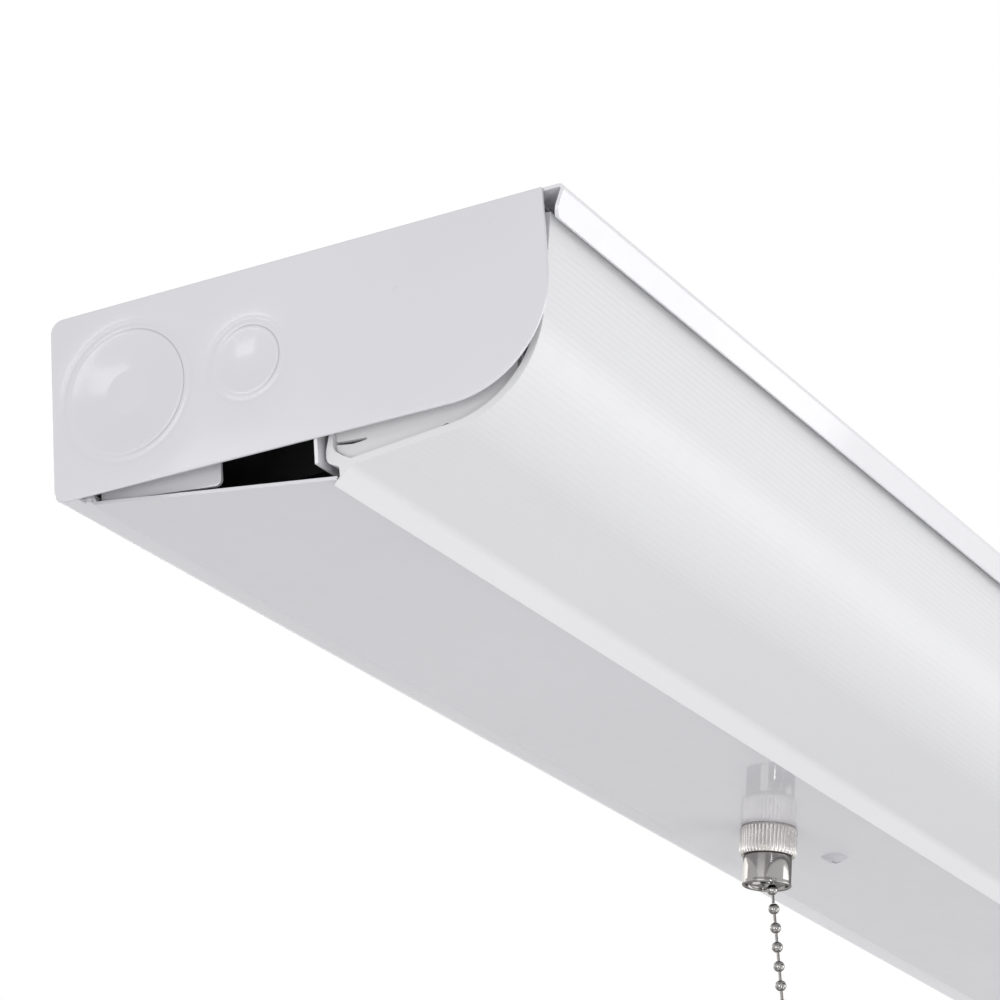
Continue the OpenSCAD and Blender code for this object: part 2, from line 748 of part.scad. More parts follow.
// Knurled nut below the cover
module knurled_nut() color("silver") on_cover(switch_at) difference() {
    union() {
        translate([0, 0, -nut_h + 0.5]) linear_extrude(nut_h - 1) polygon(
            [for (i = [0 : 2 * nut_ridges - 1])
                let (a = 180 * i / nut_ridges, r = nut_r - (i % 2) * 0.25)
                [r * cos(a), r * sin(a)]]);
        translate([0, 0, -nut_h]) cylinder(h = nut_h, r = nut_r - 0.35);
    }
    translate([0, 0, -nut_h - 1]) cylinder(h = nut_h + 2, r = bushing_r + ring_gap);
}

// Smooth ferrule on the bushing's end, with a rolled mouth for the chain
mouth = nut_h + ferrule_h;
mouth_r = ferrule_r - 0.75;

module chain_ferrule() color("silver") on_cover(switch_at) rotate_extrude() polygon(concat(
    [[bushing_r + ring_gap, -nut_h], [ferrule_r - 0.15, -nut_h],
     [ferrule_r, -nut_h - 0.4], [ferrule_r, -mouth + 0.9]],
    [for (a = [0 : 30 : 180])
        [ferrule_r - 0.35 + 0.45 * cos(a), -mouth + 0.45 - 0.45 * sin(a)]],
    [[mouth_r, -mouth + 0.9], [mouth_r, -bushing_end - ring_gap],
     [bushing_r + ring_gap, -bushing_end - ring_gap]]));

// Ball chain: a stem and beads inside the switch, a link, and the hanging chain
chain_slip = 0.15;
chain_lean = 1.3;
chain_y = switch_at[1] + mouth * sin(cover_slope) - chain_lean;
chain_z = switch_at[2] - mouth * cos(cover_slope) - 0.2;
bead_r = bead_d / 2;

// A bead with a link wire below it that ends just short of the next bead
module bead_and_link(z, length) {
    translate([switch_x, chain_y, z]) sphere(r = bead_r, $fn = 24);
    translate([switch_x, chain_y, z - length]) cylinder(h = length, r = link_r, $fn = 16);
}

short_link = bead_pitch - bead_r - chain_slip;

module pull_stem() color("silver") {
    bead_and_link(chain_z + bead_pitch, short_link);
    bead_and_link(chain_z + 2 * bead_pitch, bead_pitch);
    stem_z = chain_z + 2 * bead_pitch;
    translate([switch_x, chain_y, stem_z]) cylinder(h = 12.5, r = 0.7, $fn = 24);
    translate([switch_x, chain_y, stem_z + 12]) cylinder(h = 1, r = 1.8, $fn = 24);
}

module chain_link() color("silver") bead_and_link(chain_z, short_link);

module pull_chain() color("silver") for (i = [1 : bead_count])
    bead_and_link(chain_z - i * bead_pitch, bead_pitch);

module chain_bell() color("silver")
    translate([switch_x, chain_y, chain_z - (bead_count + 1) * bead_pitch - bell_h])
        difference() {
            rotate_extrude() polygon(rounded(
                [[0, 0], [bell_r, 0], [bell_r, bell_h * 0.3], [bell_r * 0.45, bell_h * 0.8],
                 [bell_r * 0.4, bell_h], [0, bell_h]],
                [0.8, 2.5, 2.5, 0.5], bend_steps));
            translate([0, 0, bell_h - 2]) cylinder(h = 3, r = link_r + ring_gap, $fn = 16);
        }

// Leads, held inside the wireway, that end at the mouths of the wire nuts
lead_x = x_socket - 20;
lead_r = 0.95;
lead_lane = y_part + 2.6;
ballast_lane = y_part + 3.6;
splice_x = [120, 134];
splice_mouth = y_part + 8.6;
splice_z = -14;
switch_splice = [[92, ballast_y0 + 15, -26], [92, ballast_y0 + 25, -18]];
nut_len = 18;

// Lead from a lampholder, through the wireway wall, to one of the two lamp splices
module holder_lead(side, i) {
    z = lead_hole_z - 1.2 + 2.4 * i;
    back = side * (x_socket - sheet_t - holder_t / 2);
    end_x = splice_x[i] + side * 1.7;
    end_z = splice_z + 0.9;
    wire([[back, y_lamp + holder_r + 1.9, z], [side * lead_x, y_lamp + holder_r + 4, z],
          [side * (lead_x - 1.6), lead_lane, z], [end_x + side * 5, lead_lane, z],
          [end_x + side * 1.3, lead_lane + 3.2, z - 1.2],
          [end_x, splice_mouth - 2.4, end_z], [end_x, splice_mouth, end_z]], lead_r);
}

module holder_leads_left() color("royalblue") for (i = [0, 1]) holder_lead(-1, i);
module holder_leads_right() color("firebrick") for (i = [0, 1]) holder_lead(1, i);

// The leads start just clear of the can, where its own opening would let them out
module ballast_leads() color("#333333") for (i = [0, 1]) {
    lane_z = -16 - 4 * i;
    end_z = splice_z - 1.9;
    wire([[ballast_x1 + 0.7, ballast_y0 + 5 + 3 * i, -14 - 5 * i],
          [ballast_x1 + 16, ballast_lane, lane_z], [splice_x[i] - 6, ballast_lane, lane_z + 0.2],
          [splice_x[i] - 1.3, splice_mouth - 3.4, end_z - 1.2],
          [splice_x[i], splice_mouth, end_z]], lead_r);
}

module switch_leads() color("#333333") for (i = [0, 1]) {
    start = switch_at + [switch_w / 2 + ear_t, 2.8 * i - 3, 12];
    stop = switch_splice[i];
    wire([start, start + [4, 0, 0], [start[0] + 13.8, screw_y + 0.15 + 6 * i, -20],
          stop - [5, 0, 0], stop], lead_r);
}

module wire_nuts() color("orange") {
    for (x = splice_x) translate([x, splice_mouth, splice_z]) rotate([-90, 0, 0])
        cylinder(h = nut_len, r1 = 4, r2 = 2.6);
    for (place = switch_splice) translate(place) rotate([0, 90, 0])
        cylinder(h = nut_len, r1 = 4, r2 = 2.6);
}

ceiling_channel();
end_plate_left();
end_plate_right();
wireway_partition();
socket_plate_left();
socket_plate_right();
wireway_baffle_left();
wireway_baffle_right();
cover_strap();
wireway_cover();
cover_screw();
ballast_can();
ballast_core();
ballast_base();
ballast_screws();
ballast_leads();
switch_leads();
holder_leads_left();
holder_leads_right();
wire_nuts();
ground_screw();
lampholder_left();
lampholder_right();
holder_contacts_left();
holder_contacts_right();
switch_body();
switch_bushing();
inner_nut();
lock_washer();
knurled_nut();
chain_ferrule();
lens();
lens_end_left();
lens_end_right();
lamp_tube();
lamp_cap_left();
lamp_cap_right();
lamp_pins_left();
lamp_pins_right();
rotor_left();
rotor_right();
pull_stem();
chain_link();
pull_chain();
chain_bell();
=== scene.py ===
# Fluorescent flush mount ceiling light: finishes, pressed end plates, ribbed lens skin, pull
# switch, ball chain, lamp, studio and camera. The pieces are worked out in millimetres and turned
# into metres at the end; the studio and the camera are in metres. All are in the model's frame.
import bmesh
import bpy
import numpy as np
from math import pi, radians
from mathutils import Matrix, Vector


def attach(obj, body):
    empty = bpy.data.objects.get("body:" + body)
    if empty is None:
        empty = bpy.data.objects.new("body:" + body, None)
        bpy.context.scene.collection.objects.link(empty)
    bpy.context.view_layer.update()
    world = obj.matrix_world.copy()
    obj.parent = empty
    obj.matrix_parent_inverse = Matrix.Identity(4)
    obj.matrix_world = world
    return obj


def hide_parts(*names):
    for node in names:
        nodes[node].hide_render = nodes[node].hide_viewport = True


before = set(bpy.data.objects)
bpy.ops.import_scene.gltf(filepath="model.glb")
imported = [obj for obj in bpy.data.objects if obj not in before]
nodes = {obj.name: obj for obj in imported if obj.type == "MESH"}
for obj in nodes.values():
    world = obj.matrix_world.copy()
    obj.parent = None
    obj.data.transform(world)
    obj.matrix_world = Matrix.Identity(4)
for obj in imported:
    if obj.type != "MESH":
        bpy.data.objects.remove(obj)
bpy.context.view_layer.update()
mm = 0.001
mergeDistance = 1e-7  # metres
print("frame loaded:", len(nodes), "nodes")


# A material with its node tree and its Principled shader
def newMaterial(name):
    material = bpy.data.materials.new(name)
    material.use_nodes = True
    return material, material.node_tree, material.node_tree.nodes["Principled BSDF"]


# A node with the values of its inputs and its own settings
def addNode(tree, kind, inputs=None, **settings):
    node = tree.nodes.new(kind)
    for name, value in settings.items():
        setattr(node, name, value)
    for name, value in (inputs or {}).items():
        node.inputs[name].default_value = value
    return node


# A node group with inputs, given as label, kind and value, and outputs
def newGroup(name, inputs, outputs):
    group = bpy.data.node_groups.new(name, "ShaderNodeTree")
    for label, kind, value in inputs:
        socket = group.interface.new_socket(label, in_out="INPUT", socket_type=kind)
        socket.default_value = value
    for label, kind in outputs:
        group.interface.new_socket(label, in_out="OUTPUT", socket_type=kind)
    return group, group.nodes.new("NodeGroupInput"), group.nodes.new("NodeGroupOutput")


# A group placed in a material, with that material's own values
def placeGroup(tree, group, **values):
    node = tree.nodes.new("ShaderNodeGroup")
    node.node_tree = group
    for name, value in values.items():
        node.inputs[name].default_value = value
    return node


# Height in millimetres: fine noise of the given grain, with a slow wave under it
def buildGrainGroup():
    group, source, out = newGroup(
        "surfaceGrain",
        [("Grain", "NodeSocketFloat", 900.0), ("Fine", "NodeSocketFloat", 0.004),
         ("Wave", "NodeSocketFloat", 0.02)],
        [("Height", "NodeSocketFloat")])
    links = group.links
    place = addNode(group, "ShaderNodeTexCoord")
    fine = addNode(group, "ShaderNodeTexNoise", {"Detail": 2.0, "Roughness": 0.5})
    slow = addNode(group, "ShaderNodeTexNoise", {"Scale": 38.0, "Detail": 1.0})
    links.new(place.outputs["Object"], fine.inputs["Vector"])
    links.new(place.outputs["Object"], slow.inputs["Vector"])
    links.new(source.outputs["Grain"], fine.inputs["Scale"])
    fineHeight = addNode(group, "ShaderNodeMath", operation="MULTIPLY")
    links.new(fine.outputs["Fac"], fineHeight.inputs[0])
    links.new(source.outputs["Fine"], fineHeight.inputs[1])
    total = addNode(group, "ShaderNodeMath", operation="MULTIPLY_ADD")
    links.new(slow.outputs["Fac"], total.inputs[0])
    links.new(source.outputs["Wave"], total.inputs[1])
    links.new(fineHeight.outputs["Value"], total.inputs[2])
    links.new(total.outputs["Value"], out.inputs["Height"])
    return group


# Two colours mixed by soft patches, and a roughness that varies with finer ones
def buildToneGroup():
    group, source, out = newGroup(
        "handledTone",
        [("Clean", "NodeSocketColor", (0.8, 0.8, 0.8, 1)),
         ("Worn", "NodeSocketColor", (0.7, 0.7, 0.7, 1)),
         ("Patch", "NodeSocketFloat", 24.0), ("Smooth", "NodeSocketFloat", 0.3),
         ("Rough", "NodeSocketFloat", 0.4)],
        [("Color", "NodeSocketColor"), ("Roughness", "NodeSocketFloat")])
    links = group.links
    place = addNode(group, "ShaderNodeTexCoord")
    patch = addNode(group, "ShaderNodeTexNoise", {"Detail": 2.0, "Roughness": 0.5})
    marks = addNode(group, "ShaderNodeTexNoise", {"Scale": 210.0, "Detail": 3.0})
    for noise in (patch, marks):
        links.new(place.outputs["Object"], noise.inputs["Vector"])
    links.new(source.outputs["Patch"], patch.inputs["Scale"])
    spread = addNode(group, "ShaderNodeMapRange",
                     {"From Min": 0.35, "From Max": 0.7}, interpolation_type="SMOOTHSTEP")
    links.new(patch.outputs["Fac"], spread.inputs["Value"])
    mix = addNode(group, "ShaderNodeMix", data_type="RGBA")
    links.new(spread.outputs["Result"], mix.inputs["Factor"])
    links.new(source.outputs["Clean"], mix.inputs["A"])
    links.new(source.outputs["Worn"], mix.inputs["B"])
    links.new(mix.outputs["Result"], out.inputs["Color"])
    rough = addNode(group, "ShaderNodeMapRange", {"From Min": 0.15, "From Max": 0.85})
    links.new(marks.outputs["Fac"], rough.inputs["Value"])
    links.new(source.outputs["Smooth"], rough.inputs["To Min"])
    links.new(source.outputs["Rough"], rough.inputs["To Max"])
    links.new(rough.outputs["Result"], out.inputs["Roughness"])
    return group


# Mask of the painted shadow in a scored arc: 1 where the distance from Centre across the YZ plane
# is within Width of
# Radius, fading out on the side away from Toward, so that the painted shade lies on one side; all
# in metres
def buildScoreShadowGroup():
    group, source, out = newGroup(
        "scoredArcShadow",
        [("Centre", "NodeSocketVector", (0.0, 0.0, 0.0)),
         ("Toward", "NodeSocketVector", (0.0, -1.0, 0.0)),
         ("Radius", "NodeSocketFloat", 0.01), ("Width", "NodeSocketFloat", 0.0002)],
        [("Mask", "NodeSocketFloat")])
    links = group.links
    place = addNode(group, "ShaderNodeTexCoord")
    away = addNode(group, "ShaderNodeVectorMath", operation="SUBTRACT")
    links.new(place.outputs["Object"], away.inputs[0])
    links.new(source.outputs["Centre"], away.inputs[1])
    flat = addNode(group, "ShaderNodeVectorMath", operation="MULTIPLY")
    flat.inputs[1].default_value = (0, 1, 1)  # drops X
    links.new(away.outputs["Vector"], flat.inputs[0])
    length = addNode(group, "ShaderNodeVectorMath", operation="LENGTH")
    links.new(flat.outputs["Vector"], length.inputs[0])
    gap = addNode(group, "ShaderNodeMath", operation="SUBTRACT")
    links.new(length.outputs["Value"], gap.inputs[0])
    links.new(source.outputs["Radius"], gap.inputs[1])
    size = addNode(group, "ShaderNodeMath", operation="ABSOLUTE")
    links.new(gap.outputs["Value"], size.inputs[0])
    band = addNode(group, "ShaderNodeMapRange", {"To Min": 1.0, "To Max": 0.0},
                   interpolation_type="SMOOTHSTEP")
    links.new(size.outputs["Value"], band.inputs["Value"])
    links.new(source.outputs["Width"], band.inputs["From Max"])
    unit = addNode(group, "ShaderNodeVectorMath", operation="NORMALIZE")
    links.new(flat.outputs["Vector"], unit.inputs[0])
    facing = addNode(group, "ShaderNodeVectorMath", operation="DOT_PRODUCT")
    links.new(unit.outputs["Vector"], facing.inputs[0])
    links.new(source.outputs["Toward"], facing.inputs[1])
    side = addNode(group, "ShaderNodeMapRange", {"From Min": -0.3, "From Max": 0.6},
                   interpolation_type="SMOOTHSTEP")
    links.new(facing.outputs["Value"], side.inputs["Value"])
    mask = addNode(group, "ShaderNodeMath", operation="MULTIPLY")
    links.new(band.outputs["Result"], mask.inputs[0])
    links.new(side.outputs["Result"], mask.inputs[1])
    links.new(mask.outputs["Value"], out.inputs["Mask"])
    return group


grainGroup = buildGrainGroup()
toneGroup = buildToneGroup()
scoreShadowGroup = buildScoreShadowGroup()


# A finish with its tone, roughness and grain; heights are in millimetres
def makeFinish(name, clean, worn, patch, smooth, rough, grain, fine, wave, sockets=None):
    material, tree, shader = newMaterial(name)
    tone = placeGroup(tree, toneGroup, Clean=(*clean, 1), Worn=(*worn, 1), Patch=patch,
                      Smooth=smooth, Rough=rough)
    tree.links.new(tone.outputs["Color"], shader.inputs["Base Color"])
    tree.links.new(tone.outputs["Roughness"], shader.inputs["Roughness"])
    texture = placeGroup(tree, grainGroup, Grain=grain, Fine=fine, Wave=wave)
    bump = addNode(tree, "ShaderNodeBump", {"Strength": 1.0, "Distance": mm})
    tree.links.new(texture.outputs["Height"], bump.inputs["Height"])
    tree.links.new(bump.outputs["Normal"], shader.inputs["Normal"])
    for label, value in (sockets or {}).items():
        shader.inputs[label].default_value = value
    return material


# Tones of each finish where it is clean and where worn, the number of patches to a metre, the
# least and the most roughness, the grains to a metre, and the heights of grain and wave in mm
finishFacts = {
    # The channel's, the cover's and the end plates' finishes are one white powder coat in three
    # tones
    "sheetPaint": {
        "clean": (0.775, 0.772, 0.797), "worn": (0.75, 0.747, 0.772), "patch": 18.0,
        "smooth": 0.3, "rough": 0.38, "grain": 700.0, "fine": 0.001, "wave": 0.006,
        "sockets": {"Coat Weight": 0.6, "Coat Roughness": 0.06}},
    # The cover's copy of that coat, painted darker than the channel's: painted shade
    "shadedCoverPaint": {
        "clean": (0.64, 0.635, 0.665), "worn": (0.62, 0.615, 0.645), "patch": 14.0,
        "smooth": 0.34, "rough": 0.42, "grain": 700.0, "fine": 0.001, "wave": 0.004,
        "sockets": {"Coat Weight": 0.5, "Coat Roughness": 0.035}},
    # The end plates' copy of that coat, painted a little darker than the channel's: painted shade
    "shadedEndPaint": {
        "clean": (0.715, 0.712, 0.738), "worn": (0.69, 0.687, 0.712), "patch": 18.0,
        "smooth": 0.26, "rough": 0.34, "grain": 700.0, "fine": 0.002, "wave": 0.01,
        "sockets": {"Coat Weight": 0.5, "Coat Roughness": 0.08}},
    "acrylic": {
        "clean": (0.8, 0.8, 0.808), "worn": (0.785, 0.785, 0.793), "patch": 10.0,
        "smooth": 0.38, "rough": 0.48, "grain": 500.0, "fine": 0.001, "wave": 0.004},
    "blackEnamel": {
        "clean": (0.045, 0.045, 0.047), "worn": (0.06, 0.06, 0.063), "patch": 40.0,
        "smooth": 0.16, "rough": 0.3, "grain": 900.0, "fine": 0.004, "wave": 0.03,
        "sockets": {"Coat Weight": 0.5}},
    "potting": {
        "clean": (0.03, 0.02, 0.014), "worn": (0.045, 0.032, 0.02), "patch": 60.0,
        "smooth": 0.6, "rough": 0.75, "grain": 400.0, "fine": 0.05, "wave": 0.1},
    "zincPlate": {
        "clean": (0.62, 0.63, 0.64), "worn": (0.5, 0.51, 0.53), "patch": 70.0, "smooth": 0.25,
        "rough": 0.42, "grain": 1400.0, "fine": 0.006, "wave": 0.01,
        "sockets": {"Metallic": 1.0}},
    # Nickel plate painted darker than real nickel: painted shade for the dark surroundings it
    # would reflect
    "shadedNickel": {
        "clean": (0.37, 0.36, 0.35), "worn": (0.32, 0.31, 0.3), "patch": 90.0, "smooth": 0.08,
        "rough": 0.15, "grain": 1500.0, "fine": 0.0005, "wave": 0.003,
        "sockets": {"Metallic": 1.0, "Specular Tint": (0.45, 0.44, 0.43, 1)}},
    # The knurled nut's copy of the same plate, painted lighter than the ferrule's: painted light
    "knurl": {
        "clean": (0.82, 0.8, 0.775), "worn": (0.7, 0.685, 0.66), "patch": 120.0, "smooth": 0.22,
        "rough": 0.34, "grain": 2400.0, "fine": 0.004, "wave": 0.003,
        "sockets": {"Metallic": 1.0, "Specular Tint": (0.45, 0.44, 0.43, 1)}},
    "holderPlastic": {
        "clean": (0.84, 0.84, 0.82), "worn": (0.8, 0.8, 0.78), "patch": 30.0, "smooth": 0.28,
        "rough": 0.4, "grain": 800.0, "fine": 0.006, "wave": 0.01},
    "brass": {
        "clean": (0.75, 0.56, 0.28), "worn": (0.6, 0.44, 0.2), "patch": 110.0, "smooth": 0.2,
        "rough": 0.34, "grain": 1500.0, "fine": 0.004, "wave": 0.004,
        "sockets": {"Metallic": 1.0}},
    "phosphorGlass": {
        "clean": (0.9, 0.9, 0.885), "worn": (0.87, 0.87, 0.85), "patch": 16.0, "smooth": 0.06,
        "rough": 0.1, "grain": 900.0, "fine": 0.0005, "wave": 0.002,
        "sockets": {"Coat Weight": 0.6}},
    "capAluminium": {
        "clean": (0.77, 0.77, 0.78), "worn": (0.68, 0.68, 0.7), "patch": 60.0, "smooth": 0.28,
        "rough": 0.4, "grain": 1700.0, "fine": 0.004, "wave": 0.006,
        "sockets": {"Metallic": 1.0}},
    "phenolic": {
        "clean": (0.02, 0.02, 0.022), "worn": (0.035, 0.034, 0.034), "patch": 50.0,
        "smooth": 0.34, "rough": 0.5, "grain": 900.0, "fine": 0.01, "wave": 0.02},
    "blueWire": {
        "clean": (0.02, 0.07, 0.36), "worn": (0.03, 0.09, 0.4), "patch": 80.0, "smooth": 0.3,
        "rough": 0.42, "grain": 1200.0, "fine": 0.004, "wave": 0.01},
    "redWire": {
        "clean": (0.4, 0.02, 0.02), "worn": (0.45, 0.04, 0.03), "patch": 80.0, "smooth": 0.3,
        "rough": 0.42, "grain": 1200.0, "fine": 0.004, "wave": 0.01},
    "blackWire": {
        "clean": (0.018, 0.018, 0.018), "worn": (0.03, 0.03, 0.03), "patch": 80.0,
        "smooth": 0.32, "rough": 0.44, "grain": 1200.0, "fine": 0.004, "wave": 0.01},
    "nutShell": {
        "clean": (0.75, 0.22, 0.02), "worn": (0.68, 0.18, 0.015), "patch": 70.0, "smooth": 0.34,
        "rough": 0.46, "grain": 1000.0, "fine": 0.006, "wave": 0.02},
    "greenPlate": {
        "clean": (0.03, 0.26, 0.08), "worn": (0.05, 0.3, 0.1), "patch": 90.0, "smooth": 0.25,
        "rough": 0.4, "grain": 1400.0, "fine": 0.004, "wave": 0.01,
        "sockets": {"Metallic": 0.6}},
}
finishes = {name: makeFinish(name, **facts) for name, facts in finishFacts.items()}
print("finishes made:", len(finishes))

nodeFinish = {
    "sheetPaint": ["ceiling_channel", "wireway_partition", "socket_plate_left",
                   "socket_plate_right", "wireway_baffle_left", "wireway_baffle_right",
                   "cover_strap"],
    "shadedCoverPaint": ["wireway_cover", "cover_screw"],
    "shadedEndPaint": ["end_plate_left", "end_plate_right"],
    "acrylic": ["lens", "lens_end_left", "lens_end_right"],
    "blackEnamel": ["ballast_can", "ballast_base"],
    "potting": ["ballast_core"],
    "zincPlate": ["ballast_screws", "inner_nut", "lock_washer"],
    "shadedNickel": ["switch_bushing", "knurled_nut", "chain_ferrule", "pull_stem", "chain_link",
               "pull_chain", "chain_bell"],
    "holderPlastic": ["lampholder_left", "lampholder_right", "rotor_left", "rotor_right"],
    "brass": ["holder_contacts_left", "holder_contacts_right", "lamp_pins_left",
              "lamp_pins_right"],
    "phosphorGlass": ["lamp_tube"],
    "capAluminium": ["lamp_cap_left", "lamp_cap_right"],
    "phenolic": ["switch_body"],
    "blueWire": ["holder_leads_left"],
    "redWire": ["holder_leads_right"],
    "blackWire": ["ballast_leads", "switch_leads"],
    "nutShell": ["wire_nuts"],
    "greenPlate": ["ground_screw"],
}
for finish, names in nodeFinish.items():
    for name in names:
        mesh = nodes[name].data
        mesh.materials.clear()
        mesh.materials.append(finishes[finish])
unfinished = sorted(set(nodes) - {name for names in nodeFinish.values() for name in names})
print("nodes without a finish:", unfinished)


# Corners and faces of a grid of points[i, j] with quads between neighbours; wrapI and wrapJ
# join the last row or column to the first, and caps close the end rows with fans
def gridPart(points, wrapI=False, wrapJ=True, caps=False):
    rows, columns = points.shape[:2]
    corners = points.reshape(-1, 3)
    i = np.arange(rows if wrapI else rows - 1)[:, None]
    j = np.arange(columns if wrapJ else columns - 1)[None, :]
    nextI, nextJ = (i + 1) % rows, (j + 1) % columns
    quads = np.stack([i * columns + j, i * columns + nextJ, nextI * columns + nextJ,
                      nextI * columns + j], axis=-1).reshape(-1, 4)
    faces = quads.tolist()
    if caps:
        k = np.arange(columns)
        nextK = (k + 1) % columns
        last, first = (rows - 1) * columns, np.full(columns, len(corners))
        faces += np.stack([nextK, k, first], axis=-1).tolist()
        faces += np.stack([last + k, last + nextK, first + 1], axis=-1).tolist()
        corners = np.vstack([corners, points[0].mean(0), points[-1].mean(0)])
    return corners, faces


# One object from several parts, with its faces turned outward
def makePiece(name, parts, angle=32):
    corners, faces, count = [], [], 0
    for partCorners, partFaces in parts:
        corners.append(partCorners)
        faces += [[index + count for index in face] for face in partFaces]
        count += len(partCorners)
    mesh = bpy.data.meshes.new(name)
    mesh.from_pydata(np.vstack(corners).tolist(), [], faces)
    shape = bmesh.new()
    shape.from_mesh(mesh)
    bmesh.ops.remove_doubles(shape, verts=shape.verts, dist=mergeDistance)
    bmesh.ops.recalc_face_normals(shape, faces=shape.faces)
    shape.to_mesh(mesh)
    shape.free()
    mesh.shade_smooth()
    mesh.set_sharp_from_angle(angle=radians(angle))
    piece = bpy.data.objects.new(name, mesh)
    bpy.context.scene.collection.objects.link(piece)
    return piece


# Gives a piece its finish and the body that it rides, and hides the nodes that it replaces
def dress(piece, finish, slotName, body, *replaced):
    piece.data.materials.append(finishes[finish])
    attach(piece, body)
    if replaced:
        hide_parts(*replaced)


# Turned surface: centre + r (cos a, sin a) across the axis + h along it, for each [r, h]
def turnedPoints(profile, centre, across, beside, along, segments):
    angle = np.linspace(0, 2 * pi, segments, endpoint=False)
    r, h = np.array(profile, float).T
    ring = np.cos(angle)[:, None] * across + np.sin(angle)[:, None] * beside
    return centre + r[:, None, None] * ring + h[:, None, None] * along


# Box with rounded edges: the corner of a smaller box plus r times a direction on a sphere,
# where each quarter of the sphere belongs to its own corner
def roundBox(low, high, radius, steps=3):
    low, high = np.array(low, float), np.array(high, float)
    quarter = np.linspace(0, pi / 2, steps + 1)
    around = (np.arange(4)[:, None] * pi / 2 + quarter).ravel()
    signX = np.repeat([1, -1, -1, 1], steps + 1)
    signY = np.repeat([1, 1, -1, -1], steps + 1)
    up = np.concatenate([quarter - pi / 2, quarter])[:, None]
    signZ = np.repeat([-1, 1], steps + 1)[:, None]
    half = (high - low) / 2 - radius
    grid = np.stack([signX * half[0] + radius * np.cos(up) * np.cos(around),
                     signY * half[1] + radius * np.cos(up) * np.sin(around),
                     signZ * half[2] + radius * np.sin(up) + 0 * around], axis=-1)
    return gridPart(((low + high) / 2 + grid) * mm, caps=True)


# Arc of a corner a-b-c with radius r, as points from the first leg to the second
def cornerArc(a, b, c, r, steps):
    a, b, c = (np.array(point, float) for point in (a, b, c))
    u, v = (a - b) / np.linalg.norm(a - b), (c - b) / np.linalg.norm(c - b)
    half = np.arccos(u @ v) / 2
    middle = b + (u + v) / np.linalg.norm(u + v) * r / np.sin(half)
    first = b + u * r / np.tan(half) - middle
    side = np.sign((b - a)[0] * (c - b)[1] - (b - a)[1] * (c - b)[0])
    turn = np.linspace(0, (pi - 2 * half) * side, steps)
    return middle + np.stack([first[0] * np.cos(turn) - first[1] * np.sin(turn),
                              first[0] * np.sin(turn) + first[1] * np.cos(turn)], axis=-1)


# Outward normals of a path in a plane, from the direction between each point's neighbours
def pathNormals(path, closed):
    if closed:
        step = np.roll(path, -1, 0) - np.roll(path, 1, 0)
    else:
        step = np.gradient(path, axis=0)
    step /= np.linalg.norm(step, axis=1, keepdims=True)
    return np.stack([step[:, 1], -step[:, 0]], axis=-1)


# End plates: a face with pressed knockouts, a rolled edge all round and three weld flanges
endPlate = {"x": 235.0, "sheet": 0.6, "edgeY": -44.2, "wallY": 48.25, "height": 32.9,
            "cornerR": 18.8, "smallR": 2.4, "smallSteps": 10, "edgeR": 0.24, "edgeSteps": 5,
            "backR": 0.1, "cell": 0.22, "bowlPower": 1.3,
            # In each disc, toward is the side where the painted shadow of its scored ring is
            # darkest
            "discs": {"big": {"y": 33.85, "z": -16.2, "r": 11.1, "dish": 0.6, "deep": -20,
                              "toward": (-1.0, 0.1)},
                      "small": {"y": 10.75, "z": -16.2, "r": 6.0, "dish": 0.3, "deep": 5,
                                "toward": (-0.9, 0.45)}},
            "groove": {"depth": 0.09, "width": 0.22, "even": 0.6},
            "halo": {"gap": 1.1, "depth": 0.05, "width": 0.484},
            "pull": {"depth": 0.1, "width": 3.2},
            # Painted shadow of the scored rings: its width and its dark tone
            "paintedScoreShade": {"width": 0.17, "tone": (0.42, 0.415, 0.43)},
            "flange": {"reach": 8.0, "gap": 0.02, "softR": 0.12, "partitionY": -0.6,
                       "bendR": 1.5, "fromBend": 2.0, "fromCorner": 4.0, "fromEdge": 2.0,
                       "fromPartition": 1.0}}


# Depth of the pressed face in millimetres: for each disc a bowl, a scored groove at its rim
# that is deeper on one side, a faint wider ring and a soft pull of the sheet round it, all by
# distance from its centre
def pressedDepth(y, z):
    groove, halo, pull = endPlate["groove"], endPlate["halo"], endPlate["pull"]
    depth = np.zeros_like(y)
    for disc in endPlate["discs"].values():
        away = np.hypot(y - disc["y"], z - disc["z"])
        turn = np.arctan2(z - disc["z"], disc["y"] - y) - radians(disc["deep"])
        side = groove["even"] + (1 - groove["even"]) * np.cos(turn)
        inside = np.clip(1 - (away / disc["r"]) ** 2, 0, 1)
        depth += disc["dish"] * inside ** endPlate["bowlPower"]
        depth += groove["depth"] * side * np.exp(-((away - disc["r"]) / groove["width"]) ** 2)
        depth += halo["depth"] * np.exp(-((away - disc["r"] - halo["gap"]) / halo["width"]) ** 2)
        outside = np.clip(away / disc["r"] - 1, 0, None) * disc["r"] / pull["width"]
        depth += pull["depth"] * np.exp(-outside ** 2)
    return depth


# Weld flanges behind the plate: a rounded box under the top on each side of the partition, and
# one inside the wall, each a sheet thick and reaching inward from the plate's back
def weldFlanges(side):
    facts, flange = endPlate, endPlate["flange"]
    sheet, wall, part = facts["sheet"], facts["wallY"], flange["partitionY"]
    bend = flange["bendR"] + flange["fromBend"]
    spans = [((part + flange["fromPartition"], -2 * sheet), (wall - bend, -sheet)),
             ((facts["edgeY"] + flange["fromEdge"], -2 * sheet),
              (part - sheet - flange["fromPartition"], -sheet)),
             ((wall - 2 * sheet, -facts["height"] + flange["bendR"] + flange["fromCorner"]),
              (wall - sheet, -bend))]
    outer = facts["x"] - sheet - flange["gap"]
    x0, x1 = sorted((side * outer, side * (outer - flange["reach"])))
    return [roundBox((x0, y0, z0), (x1, y1, z1), flange["softR"])
            for (y0, z0), (y1, z1) in spans]


